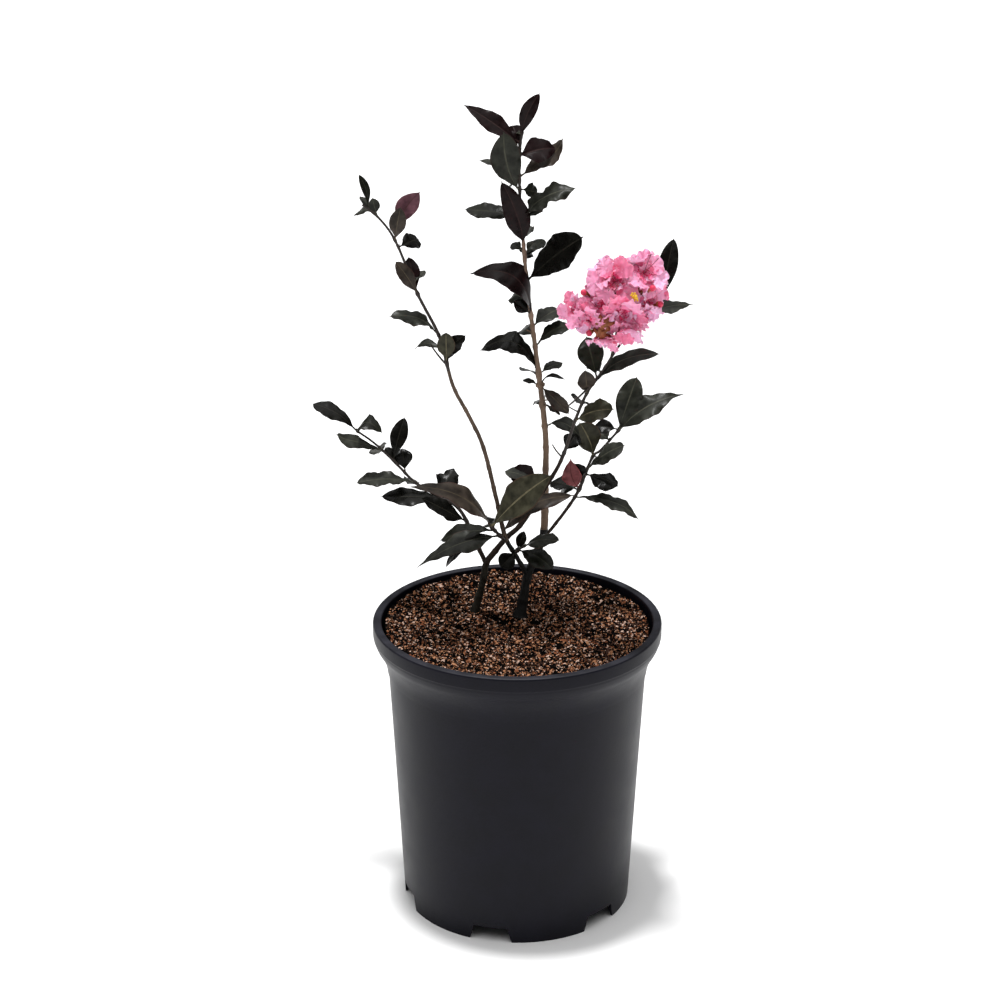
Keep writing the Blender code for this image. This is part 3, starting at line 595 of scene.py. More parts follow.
ROUTES = {
    "left": Route(
        ((-32, 37, 217), (-28, 36, 233), (-25, 35, 247), (-23, 32, 259), (-18, 30, 267),
         (-8, 25, 282), (4, 16, 298), (25, 4, 338), (33, -4, 358), (42, -12, 390),
         (50, -18, 412), (60, -24, 429), (66, -28, 441)),
        ((0, 2.6), (42, 2.5), (60, 2.1), (165, 1.3), (260, 0.9)), flare=1.4),
    "low_left": Route(
        ((-23, 32.5, 257), (-30, 34, 272), (-43, 38, 299), (-60, 42, 309), (-77, 45, 319),
         (-93, 48, 335), (-108, 50, 349), (-123, 50, 360)),
        ((0, 1.8), (60, 1.2), (148, 0.7))),
    "centre": Route(
        ((2, 26, 217), (5, 28, 232), (8, 30, 249), (15, 31, 268), (20, 32, 284),
         (21, 33, 325), (21, 33, 357), (18, 31, 389), (13, 27, 429), (7, 22, 476),
         (3, 16, 522), (1, 12, 552), (1, 8, 582), (4, 6, 603)),
        ((0, 3.5), (34, 3.1), (72, 2.9), (112, 2.3), (176, 2.0), (264, 1.3), (392, 0.8)),
        flare=2.2),
    "tall_left": Route(
        ((8, 30, 249), (-1, 21, 269), (-9, 14, 287), (-15.5, 8, 319), (-25, 2, 362),
         (-35.5, -2, 388), (-47, -6, 413), (-56, -10, 450), (-71, -14, 483), (-86, -19, 523),
         (-98, -21, 541), (-110, -22, 551)),
        ((0, 1.8), (120, 1.5), (250, 1.1), (328, 0.7))),
    "right": Route(
        ((20, 32, 280), (28, 35, 288), (45, 42, 311), (56, 48, 337), (63, 50, 343),
         (78, 55, 359)),
        ((0, 1.3), (40, 1.2), (102, 0.8))),
    "foot_left": Route(((-9, 14, 284), (-13, 6, 291), (-21, -3, 304)), ((0, 1.2), (26, 1.0))),
    "foot_right": Route(((-2, 21, 271), (1, 14, 277), (7, 8, 283)), ((0, 1.2), (19, 0.9))),
    "centre_back": Route(((21, 33, 316), (17, 37, 321), (12, 40, 324)),
                         ((0, 1.1), (12, 0.9))),
    "flower_stalk": Route(((66, -28, 441), (68, -36, 456), (72, -42, 482)),
                          ((0, 1.0), (42, 1.0))),
    "behind_flower": Route(((66, -28, 441), (76, -20, 453), (90, -11, 467), (106, -6, 478)),
                           ((0, 0.9), (60, 0.7))),
}

BLACK, GREEN, GREY, OLIVE = LeafTone.BLACK, LeafTone.GREEN, LeafTone.GREY, LeafTone.OLIVE
BROWN, BURGUNDY, PLUM, ROSE = LeafTone.BROWN, LeafTone.BURGUNDY, LeafTone.PLUM, LeafTone.ROSE


@dataclass(frozen=True)
class LeafBlade:
    """The fine mesh of one leaf: a folded, bowed, veined blade on its short stalk."""

    route: Route
    leaf: Leaf
    seed: str
    thickness: float = 0.30
    rib_depth: float = 0.5          # how much thicker the blade is under its midrib
    rib_width: float = 0.8
    wedge: float = 1.15             # the higher, the more the blade narrows to its stalk
    blade_end: float = 0.965        # where the broad blade ends, as a share of its length
    point_width: float = 0.16       # width of the short point, as a share of the blade's
    point_run: float = 0.16         # how far before its end the short point narrows
    point_start: tuple[float, float] = (0.6, 0.8)
    root_width: float = 0.07        # width at the stalk, as a share of the blade's
    vein_relief: float = 0.22
    vein_gap: float = 4.6           # distance between two side veins along the midrib
    vein_lean: float = 0.95         # how far a side vein runs forward for its way across
    vein_width: float = 5.0         # a blade narrower than this has weaker veins
    groove_depth: float = 0.3       # the groove over the midrib
    groove_width: float = 0.9
    fold_round: float = 0.02        # how round the fold at the midrib is
    fold_loss: float = 0.2          # how much flatter the fold is at the tip, as a share
    edge_roll: tuple[float, float] = (0.02, 0.14)   # how far the margin is rolled down
    waves: tuple[float, float] = (1.6, 2.8)         # least and most waves along a margin
    ripple: float = 2.7             # number of small waves for each wave
    ripple_share: float = 0.4       # height of the small waves, as a share of the waves'
    twist: float = 8.0              # most turn of the tip against the root
    rows_per_mm: float = 0.95
    least_rows: int = 18
    crowding: float = 0.55          # how far the rows crowd towards the two ends
    columns: tuple[float, ...] = (-1.0, -0.93, -0.8, -0.63, -0.46, -0.3, -0.16, -0.05,
                                  0.05, 0.16, 0.3, 0.46, 0.63, 0.8, 0.93, 1.0)

    def frame_of(self) -> tuple[np.ndarray, np.ndarray, np.ndarray, np.ndarray]:
        """Works out how the leaf stands.

        Returns:
            The leaf's root, and its directions along the midrib, across it and upwards.
        """
        leaf = self.leaf
        base = self.route.line.point(leaf.at)
        along = heading_vector(leaf.heading, leaf.rise)
        tilt = math.radians(leaf.tilt)
        face = np.array([0.0, -math.sin(tilt), math.cos(tilt)])
        face = unit(face - along * np.dot(face, along))
        roll = math.radians(leaf.roll)
        face = face * math.cos(roll) + np.cross(face, along) * math.sin(roll)
        return base, along, np.cross(face, along), face

    def tip(self) -> np.ndarray:
        """The point of the leaf, where the solid leaf ends too."""
        base, along, _, _ = self.frame_of()
        return base + along * self.leaf.length

    def half_width(self, share: np.ndarray) -> np.ndarray:
        """Half the blade's width along it: a wedge, a rounded end and a short point.

        Args:
            share: Places along the blade, from nought to one.

        Returns:
            Half widths in millimetres.
        """
        peak = self.leaf.peak
        quarter = math.pi / 2
        wedge = np.sin(quarter * np.clip(share / peak, 0, 1)) ** self.wedge
        beyond = np.clip((share - peak) / (self.blade_end - peak), 0, 1)
        end = np.cos(quarter * beyond) ** self.leaf.blunt
        body = np.where(share < peak, wedge, end)
        point = self.point_width * np.clip((1.01 - share) / self.point_run, 0, 1)
        point = point * eased(share, *self.point_start)
        root = self.root_width * (1 - share)
        return self.leaf.width / 2 * np.maximum(np.maximum(body, point), root)

    def surfaces(self) -> tuple[np.ndarray, np.ndarray]:
        """Works out the two sides of the blade.

        Returns:
            The points of the upper side and of the underside, row by row.
        """
        leaf = self.leaf
        rng = random.Random(self.seed)
        base, along, side, face = self.frame_of()
        rows = max(self.least_rows, round(leaf.length * self.rows_per_mm))
        even = np.linspace(0.0, 1.0, rows)
        crowded = (1 - np.cos(math.pi * even)) / 2
        share = (1 - self.crowding) * even + self.crowding * crowded
        across = np.array(self.columns)
        place = leaf.stalk + share * (leaf.length - leaf.stalk)
        whole = place / leaf.length
        bow = leaf.arch * leaf.length * 4 * whole * (1 - whole)
        bow = bow + leaf.curl * leaf.length * (eased(share, 0.7, 1.3) * 2)
        bend = leaf.sweep * leaf.length * 4 * whole * (1 - whole)
        middle = base + np.outer(place, along) + np.outer(bow, face) + np.outer(bend, side)
        slope = np.gradient(bow, place)
        lean = 1 / np.sqrt(1 + slope**2)
        normal = np.outer(lean, face) - np.outer(slope * lean, along)
        twist = math.radians(rng.uniform(-self.twist, self.twist)) * share
        sideways = np.outer(np.cos(twist), side) + normal * np.sin(twist)[:, None]
        upwards = normal * np.cos(twist)[:, None] - np.outer(np.sin(twist), side)
        width = self.half_width(share)
        reach = np.outer(width, across)
        height = self.heights(share, across, width, rng)
        centre = middle[:, None, :] + reach[:, :, None] * sideways[:, None, :]
        upper = centre + height[:, :, None] * upwards[:, None, :]
        depth = self.thickness * (1 - 0.5 * np.abs(across) ** 4)[None, :]
        rib = np.exp(-(reach / self.rib_width) ** 2) * (1 - share)[:, None]
        depth = depth + self.rib_depth * rib
        under = upper - depth[:, :, None] * upwards[:, None, :]
        return upper, under

    def draw(self, draft: Draft) -> None:
        """Adds the blade and its stalk to a piece.

        Args:
            draft: The piece that takes them.
        """
        upper, under = self.surfaces()
        self.skin(draft, upper, under)
        self.draw_stalk(draft, upper[1, upper.shape[1] // 2])

    def heights(self, share: np.ndarray, across: np.ndarray, width: np.ndarray,
                rng: random.Random) -> np.ndarray:
        """How far the blade stands above its middle plane: fold, veins, waves and rolled edge.

        Args:
            share: Places along the blade.
            across: Places across the blade, from minus one to one.
            width: Half widths at the places along the blade.
            rng: The leaf's own source of chance.

        Returns:
            One height for each row and column.
        """
        leaf = self.leaf
        far = np.abs(across)[None, :]
        wide = width[:, None]
        along = share[:, None]
        fold = math.tan(math.radians(leaf.fold)) * (1.0 - self.fold_loss * along)
        lift = wide * fold * (np.sqrt(far**2 + self.fold_round) - math.sqrt(self.fold_round))
        roll = rng.uniform(*self.edge_roll) * wide * far**4
        waves = rng.uniform(*self.waves)
        phases = np.where(across < 0, rng.uniform(0, 1), rng.uniform(0, 1))[None, :]
        ripple = leaf.wave * leaf.width * far**2.4 * np.sin(math.pi * along) ** 0.5
        small = np.sin(math.tau * (self.ripple * waves * along + 3 * phases))
        ripple = ripple * (np.sin(math.tau * (waves * along + phases))
                           + self.ripple_share * small)
        veins = (along * leaf.length - far * wide * self.vein_lean) / self.vein_gap
        quilt = np.abs(np.sin(math.pi * veins)) ** 0.7 - 0.6
        quilt = quilt * self.vein_relief * eased(far, 0.05, 0.3) * (1 - far**3)
        quilt = quilt * np.minimum(1, wide / self.vein_width)
        groove = self.groove_depth * np.exp(-(far * wide / self.groove_width) ** 2) * (1 - along)
        return lift - roll + ripple + quilt - groove

    def skin(self, draft: Draft, upper: np.ndarray, under: np.ndarray) -> None:
        """Adds the two sides of the blade and its margin, each in its finish.

        Args:
            draft: The piece that takes them.
            upper: Points of the upper side, row by row.
            under: Points of the underside, row by row.
        """
        tone = self.leaf.tone.value
        rows, columns = upper.shape[:2]
        count = rows * columns
        quads = grid_quads(rows, columns)
        column = quads[:, 0] % columns
        rib = (column == columns // 2 - 1)
        edge = (column == 0) | (column == columns - 2)
        back = quads[:, ::-1] + count
        left = np.arange(rows) * columns
        right = left + columns - 1
        base_row = np.arange(columns)
        tip_row = base_row + (rows - 1) * columns
        seams = [np.stack([b, a, a + count, b + count], 1) for a, b in (
            (left[:-1], left[1:]), (right[1:], right[:-1]),
            (base_row[1:], base_row[:-1]), (tip_row[:-1], tip_row[1:]))]
        points = np.concatenate([upper.reshape(-1, 3), under.reshape(-1, 3)])
        draft.add(points, (quads[~rib & ~edge], tone.upper()), (quads[edge], tone.margin()),
                  (quads[rib], tone.midrib()), (back[~rib], tone.lower()),
                  (back[rib], tone.midrib()), (np.concatenate(seams), tone.margin()))

    def draw_stalk(self, draft: Draft, root: np.ndarray) -> None:
        """Adds the leaf's short stalk and the bud in its axil.

        Args:
            draft: The piece that takes them.
            root: Where the blade starts.
        """
        base, along, _, _ = self.frame_of()
        size = 0.35 + 0.018 * self.leaf.width
        centres = np.linspace(base, root + along * 1.2, 6)
        draft.add_tube(centres, np.linspace(1.25, 0.75, 6) * size, 8,
                       self.leaf.tone.value.midrib())
        reach = self.route.radii(np.array([self.leaf.at]))[0]
        axil = base + along * reach * 0.8 + UP
        draft.add_ball(axil, along + 1.4 * UP, 0.55 * size + 0.25, 2.4,
                       self.leaf.tone.value.midrib(), 6)


@dataclass(frozen=True)
class Mass:
    """A mass of foliage on the stretch of a route from start to end."""

    name: str
    route: str
    start: float
    end: float
    bark: BarkTone
    leaves: tuple[Leaf, ...]
    far_leaves: int = 3
    far_lengths: tuple[float, float] = (26.0, 38.0)
    far_headings: tuple[float, float] = (62.0, 122.0)
    far_rises: tuple[float, float] = (-28.0, 4.0)
    far_width: float = 0.46
    spurs: tuple[Spur, ...] = ()

    FAR_ROLLS = (38.0, -34.0, 26.0)     # how far the leaves on the far side are turned
    FAR_TONES = (GREEN, BLACK, GREY)
    FAR_PLACES = (0.3, 0.7)             # where in its share of the twig such a leaf stands
    ROOT_MARGIN = 2.0                   # least distance of such a leaf from the twig's root
    TIP_SLACK = 1.0                     # how far a leaf's tip may be from the solid leaf's

    @property
    def node(self) -> str:
        """The name of the solid that the mass stands for."""
        return "foliage_" + self.name

    def far_side(self) -> Iterator[Leaf]:
        """Deals out the leaves on the far side, by the same seeded rule as in the solid mass.

        Returns:
            The leaves, one by one.
        """
        rng = random.Random(self.node)
        first = min(leaf.at for leaf in self.leaves)
        for k in range(self.far_leaves):
            share = (k + rng.uniform(*self.FAR_PLACES)) / self.far_leaves
            length = rng.uniform(*self.far_lengths)
            heading, rise = rng.uniform(*self.far_headings), rng.uniform(*self.far_rises)
            at = max(self.start + self.ROOT_MARGIN, first + share * (self.end - first))
            yield Leaf(at, heading, rise, length, self.far_width * length,
                       self.FAR_TONES[k % len(self.FAR_TONES)],
                       roll=self.FAR_ROLLS[k % len(self.FAR_ROLLS)])

    def in_solid(self, tip: np.ndarray) -> bool:
        """Looks for a leaf in the solid mass.

        Args:
            tip: Where the leaf's point would be.

        Returns:
            Whether the solid mass has a leaf whose point is there.
        """
        vertices = frame["nodes"][self.node].data.vertices
        flat = np.empty(len(vertices) * 3)
        vertices.foreach_get("co", flat)
        gaps = np.linalg.norm(flat.reshape(-1, 3) / MM - tip, axis=1)
        return bool(np.min(gaps) < self.TIP_SLACK)

    def draw_spur(self, twig: Draft, spur: Spur) -> None:
        """Adds a bare bit of twig, tapering to a blunt end.

        Args:
            twig: The piece that takes it.
            spur: Where it stands, its size and its bend.
        """
        along = heading_vector(spur.heading, spur.rise)
        side = unit(np.cross(along, (0.0, -1.0, 0.0)))
        share = np.linspace(0, 1, 10)
        base = ROUTES[self.route].line.point(spur.at)
        centres = base + np.outer(share * spur.length, along)
        centres = centres + np.outer(spur.bend * spur.length * share**2, side)
        twig.add_tube(centres, spur.radius * (1.15 - 0.4 * share), 9, self.bark.value)

    def build(self) -> None:
        """Makes the mass's leaves and its twig."""
        route = ROUTES[self.route]
        leaves = Draft("leaves_" + self.name)
        twig = Draft("twig_" + self.name)
        placed = []
        for k, leaf in enumerate((*self.leaves, *self.far_side())):
            blade = LeafBlade(route, leaf, f"{self.name} {k}")
            if self.in_solid(blade.tip()):
                blade.draw(leaves)
                placed.append(leaf.at)
        Limb(route, self.start, self.end, self.bark, tuple(placed)).draw(twig)
        for spur in self.spurs:
            self.draw_spur(twig, spur)
        leaves.piece("foliage", (self.node,))
        twig.piece("foliage", (self.node,))


@dataclass(frozen=True)
class Limb:
    """A stem, bough or twig: a tapering tube with the relief of its bark."""

    route: Route
    start: float
    end: float
    bark: BarkTone
    nodes: tuple[float, ...] = ()
    relief: float = 0.09            # height of the bark's relief, as a share of the radius
    step: float = 1.1
    sides: int = 18
    swelling: float = 0.28          # how much thicker the limb is at a leaf's root
    swelling_reach: float = 1.6
    furrows: float = 2.2            # the higher, the more furrows run along the limb
    furrow_run: float = 0.22        # the higher, the shorter the furrows

    def draw(self, draft: Draft) -> None:
        """Adds the limb to a piece.

        Args:
            draft: The piece that takes it.
        """
        count = max(4, round((self.end - self.start) / self.step))
        places = np.linspace(self.start, self.end, count)
        centres = self.route.line.points(places)
        radii = self.route.radii(places)
        for node in self.nodes:
            radii = radii * (1 + self.swelling * np.exp(-((places - node) / self.swelling_reach) ** 2))
        rough = np.empty((count, self.sides))
        for i, place in enumerate(places):
            for j, turn in enumerate(turns_round(self.sides)):
                spot = Vector((self.furrows * math.cos(turn), self.furrows * math.sin(turn),
                               self.furrow_run * place))
                rough[i, j] = noise.noise(spot) + 0.6 * noise.noise(spot * 2.7)
        draft.add_tube(centres, radii[:, None] * (1 + self.relief * rough), self.sides,
                       self.bark.value)


MASSES = (
    Mass("centre_low", "centre", 150, 240, BarkTone.TAN, (
        Leaf(154, 335, -9, 29, 15, GREY, arch=0.3, fold=5),
        Leaf(172, 312, -12, 20, 5, BROWN, arch=0.1, wave=0.2),
        Leaf(187, 327, -35, 31, 13, BROWN, arch=0.02, tilt=30),
        Leaf(188, 330, 18, 22, 5, BLACK, arch=0.26),
        Leaf(187, 164, 12, 14, 6, GREY),
        Leaf(196, 30, 11, 21, 11, GREY, arch=0.15, curl=0.1),
        Leaf(199, 170, 15, 46, 22, BLACK, tilt=24, arch=0.43, stalk=1, fold=5),
        Leaf(218, 21, 20, 35, 16, GREEN, arch=0.22, fold=5),
        Leaf(234, 45, 14, 30, 17, GREY)),
        spurs=(Spur(229, 200, 25, 6, 0.5), Spur(175, 20, -10, 16, 0.5, -0.2))),
    Mass("centre_middle", "centre", 240, 330, BarkTone.PALE, (
        Leaf(242, 172, 34, 54, 24, BURGUNDY, tilt=28, arch=0.47, stalk=1, fold=5, peak=0.5),
        Leaf(244, 206, 40, 18, 10, BLACK, tilt=60),
        Leaf(270, 341, 41, 56, 28, BLACK, tilt=45, arch=0.03, sweep=0.02, fold=5, peak=0.6,
             blunt=0.5),
        Leaf(288, 58, 14, 29, 11, GREEN),
        Leaf(293, 137, 15, 13, 9, GREY, tilt=40),
        Leaf(291, 40, 35, 12, 8, GREY, tilt=60),
        Leaf(298, 211, 69, 53, 18, BURGUNDY, tilt=75, sweep=-0.05, peak=0.4),
        Leaf(318, 160, 3, 43, 16, GREEN, tilt=30, curl=0.04, blunt=0.5),
        Leaf(318, 332, 24, 19, 8, GREY),
        Leaf(317, 347, 33, 48, 17, GREY, tilt=35, arch=0.19, fold=5, wave=0.17))),
    Mass("centre_top", "centre", 330, 388, BarkTone.YOUNG, (
        Leaf(341, 34, -18, 16, 12, GREEN, tilt=60, wave=0.1),
        Leaf(348, 163, 21, 32, 10, GREY, tilt=10, arch=0.15),
        Leaf(339, 215, 73, 47, 22, GREY, tilt=80, sweep=0.08, peak=0.6),
        Leaf(350, 12, 31, 40, 18, BROWN, tilt=30, arch=0.04, peak=0.62, curl=0.24),
        Leaf(366, 21, 6, 28, 19, BURGUNDY, tilt=55, arch=0.15, stalk=1, peak=0.4, blunt=0.7),
        Leaf(368, 162, 47, 20, 14, BURGUNDY, tilt=50),
        Leaf(371, 115, 49, 19, 11, BURGUNDY, fold=40),
        Leaf(379, 338, 67, 36, 11, BURGUNDY, tilt=60, sweep=0.06, fold=12),
        Leaf(375, 171, 33, 48, 15, BURGUNDY, tilt=45, arch=0.05, peak=0.45, blunt=0.9))),
    Mass("centre_back", "centre_back", 0, 12, BarkTone.YOUNG, (
        Leaf(7, 156, 11, 30, 14, GREY, blunt=0.5),
        Leaf(11, 150, 6, 24, 18, BURGUNDY, tilt=50, stalk=1, peak=0.35)), far_leaves=0),
    Mass("tall_left_low", "tall_left", 190, 242, BarkTone.YOUNG, (
        Leaf(197, 270, 72, 26, 13, OLIVE, tilt=70, blunt=0.5),
        Leaf(195, 330, 57, 29, 12, BLACK, tilt=50, sweep=0.12, wave=0.12),
        Leaf(206, 152, 2, 24, 10, GREY, arch=0.16, curl=-0.16),
        Leaf(219, 193, 24, 39, 16, GREY, arch=0.19, fold=4, wave=0.09, blunt=0.5)),
        far_leaves=0, spurs=(Spur(194, 185, 48, 20, 0.7),)),
    Mass("tall_left_top", "tall_left", 242, 332, BarkTone.YOUNG, (
        Leaf(253, 208, 57, 32, 11, BROWN, tilt=50, blunt=0.5),
        Leaf(254, 120, 62, 27, 11, BURGUNDY, tilt=60),
        Leaf(262, 52, 27, 15, 7, GREY),
        Leaf(297, 290, 63, 31, 12, BROWN, tilt=60),
        Leaf(298, 15, 60, 38, 15, PLUM, tilt=60, arch=0.05, sweep=0.09, stalk=9, blunt=0.8),
        Leaf(319, 245, 66, 16, 8, GREY, tilt=60),
        Leaf(322, 149, 42, 16, 6, GREY),
        Leaf(327, 150, 73, 25, 6, GREEN, tilt=60, sweep=-0.08))),
    Mass("low_left", "low_left", 30, 146, BarkTone.YOUNG, (
        Leaf(37, 197, 33, 42, 18, BLACK, tilt=30, arch=0.01, peak=0.42),
        Leaf(61, 187, 4, 49, 20, BLACK, arch=0.05, curl=0.04, fold=3),
        Leaf(66, 55, 38, 26, 18, BLACK, wave=0.16),
        Leaf(87, 196, 5, 46, 17, GREY, wave=0.07, blunt=0.5),
        Leaf(97, 101, 50, 20, 14, BLACK, tilt=60, blunt=0.5),
        Leaf(107, 143, 46, 15, 8, BLACK),
        Leaf(110, 48, 67, 34, 13, BLACK, tilt=60, sweep=0.02),
        Leaf(121, 194, 20, 39, 15, GREY, arch=0.05, fold=4, peak=0.62, curl=0.1, blunt=0.5),
        Leaf(145, 335, 5, 21, 18, GREEN, arch=0.45, stalk=1, fold=5, peak=0.3),
        Leaf(145, 170, 30, 40, 16, BLACK, tilt=25, arch=0.14, fold=5, peak=0.65, blunt=0.5)),
        spurs=(Spur(42, 250, 30, 9, 0.5, 0.3),)),
    Mass("right", "right", 33, 101, BarkTone.YOUNG, (
        Leaf(38, 349, -14, 51, 14, GREY, arch=0.13, fold=3, curl=-0.06, wave=0.08),
        Leaf(44, 145, 2, 26, 18, BLACK),
        Leaf(45, 232, 68, 30, 15, ROSE, tilt=80, sweep=0.1, peak=0.4, blunt=1.0),
        Leaf(51, 225, 62, 19, 13, BLACK, tilt=70),
        Leaf(57, 331, -10, 28, 20, BLACK, fold=-8, blunt=0.5),
        Leaf(61, 341, 38, 37, 20, GREY, tilt=25, fold=2, peak=0.65, blunt=0.5),
        Leaf(72, 230, 61, 36, 20, OLIVE, tilt=75, sweep=-0.05, peak=0.62, blunt=0.45),
        Leaf(100, 176, 6, 19, 12, BLACK, tilt=45, arch=0.1),
        Leaf(99, 35, 67, 43, 19, GREY, tilt=75, sweep=0.01, wave=0.08, blunt=0.5),
        Leaf(98, 7, 29, 57, 22, GREY, tilt=30, arch=0.16, peak=0.4, blunt=1.3, wave=0.07))),
    Mass("flower_stem", "left", 161, 256, BarkTone.YOUNG, (
        Leaf(166, 45, 40, 18, 14, BLACK, tilt=40, blunt=0.5),
        Leaf(195, 332, 24, 34, 21, OLIVE, tilt=35, arch=0.12, fold=2, blunt=0.5),
        Leaf(220, 262, 60, 25, 13, BROWN, tilt=60),
        Leaf(235, 115, 56, 32, 19, GREEN, tilt=60),
        Leaf(229, 349, 28, 55, 17, GREY, arch=0.16, stalk=1, fold=3)),
        spurs=(Spur(234, 195, -46, 27, 0.8, 0.08), Spur(203, 160, 18, 10, 0.5),
               Spur(162, 180, 42, 12, 0.6, 0.2))),
    Mass("behind_flower", "behind_flower", 0, 58, BarkTone.YOUNG, (
        Leaf(39, 25, 3, 40, 15, GREY, arch=0.09, fold=3, peak=0.42, blunt=1.5, curl=0.03),
        Leaf(55, 60, 69, 46, 14, BLACK, tilt=60, sweep=0.02)), far_leaves=1),
    Mass("foot_left", "foot_left", 0, 26, BarkTone.YOUNG, (
        Leaf(10, 347, 34, 67, 22, BROWN, arch=0.18, fold=3, peak=0.5),
        Leaf(12, 199, -15, 67, 24, GREY, arch=0.11, fold=3, peak=0.4, blunt=2.0, wave=0.06),
        Leaf(13, 176, -35, 49, 10, BLACK, arch=0.18),
        Leaf(20, 166, -16, 44, 20, GREEN, arch=0.08),
        Leaf(25, 339, 45, 67, 26, OLIVE, tilt=45, arch=0.02, sweep=0.035, fold=10, peak=0.5,
             blunt=0.7),
        Leaf(24, 191, 31, 71, 24, BROWN, arch=0.18, fold=4, peak=0.43, blunt=0.8))),
    Mass("foot_right", "foot_right", 0, 18, BarkTone.YOUNG, (
        Leaf(6, 216, -33, 18, 14, BLACK, tilt=70, blunt=0.5),
        Leaf(7, 310, 66, 20, 8, BLACK, tilt=60),
        Leaf(8, 320, -12, 35, 19, GREEN, arch=0.14, fold=3),
        Leaf(17, 328, 17, 33, 19, GREY, arch=0.14, fold=2, peak=0.45, curl=0.06)), far_leaves=1),
)


@dataclass(frozen=True)
class Branchwork:
    """The two stems from the potting mix to their forks, and the five boughs."""

    overlap: float = 1.5            # how far each limb runs on into what it carries
    stem_relief: float = 0.16
    bough_relief: float = 0.1
    first_knot: int = 14            # from a limb's start to its first knot
    knot_gap: int = 17
    knot_swelling: float = 0.14

    # The stretches low under the crown take the near-black bark that paints their shade.
    LIMBS = (
        ("stem_left", "left", 0, 42, BarkTone.ROOT),
        ("stem_right", "centre", 0, 34, BarkTone.SHADED_BASE),
        ("bough_flower", "left", 42, 161, BarkTone.DARK),
        ("bough_centre", "centre", 34, 72, BarkTone.SHADED_BASE),
        ("bough_centre", "centre", 72, 150, BarkTone.TAN),
        ("bough_tall_left", "tall_left", 0, 40, BarkTone.SHADED_BASE),
        ("bough_tall_left", "tall_left", 40, 190, BarkTone.BROWN),
        ("bough_low_left", "low_left", 0, 30, BarkTone.DARK),
        ("bough_right", "right", 0, 33, BarkTone.DARK),
    )

    def build(self) -> None:
        """Makes one piece of bark for each solid limb."""
        drafts: dict[str, Draft] = {}
        for name, route, start, end, tone in self.LIMBS:
            draft = drafts.setdefault(name, Draft("bark_" + name))
            relief = self.stem_relief if name.startswith("stem") else self.bough_relief
            knots = tuple(range(start + self.first_knot, end, self.knot_gap))
            Limb(ROUTES[route], start, end + self.overlap, tone, knots, relief,
                 swelling=self.knot_swelling).draw(draft)
        for name, draft in drafts.items():
            draft.piece("bark", (name,))


# The flower head

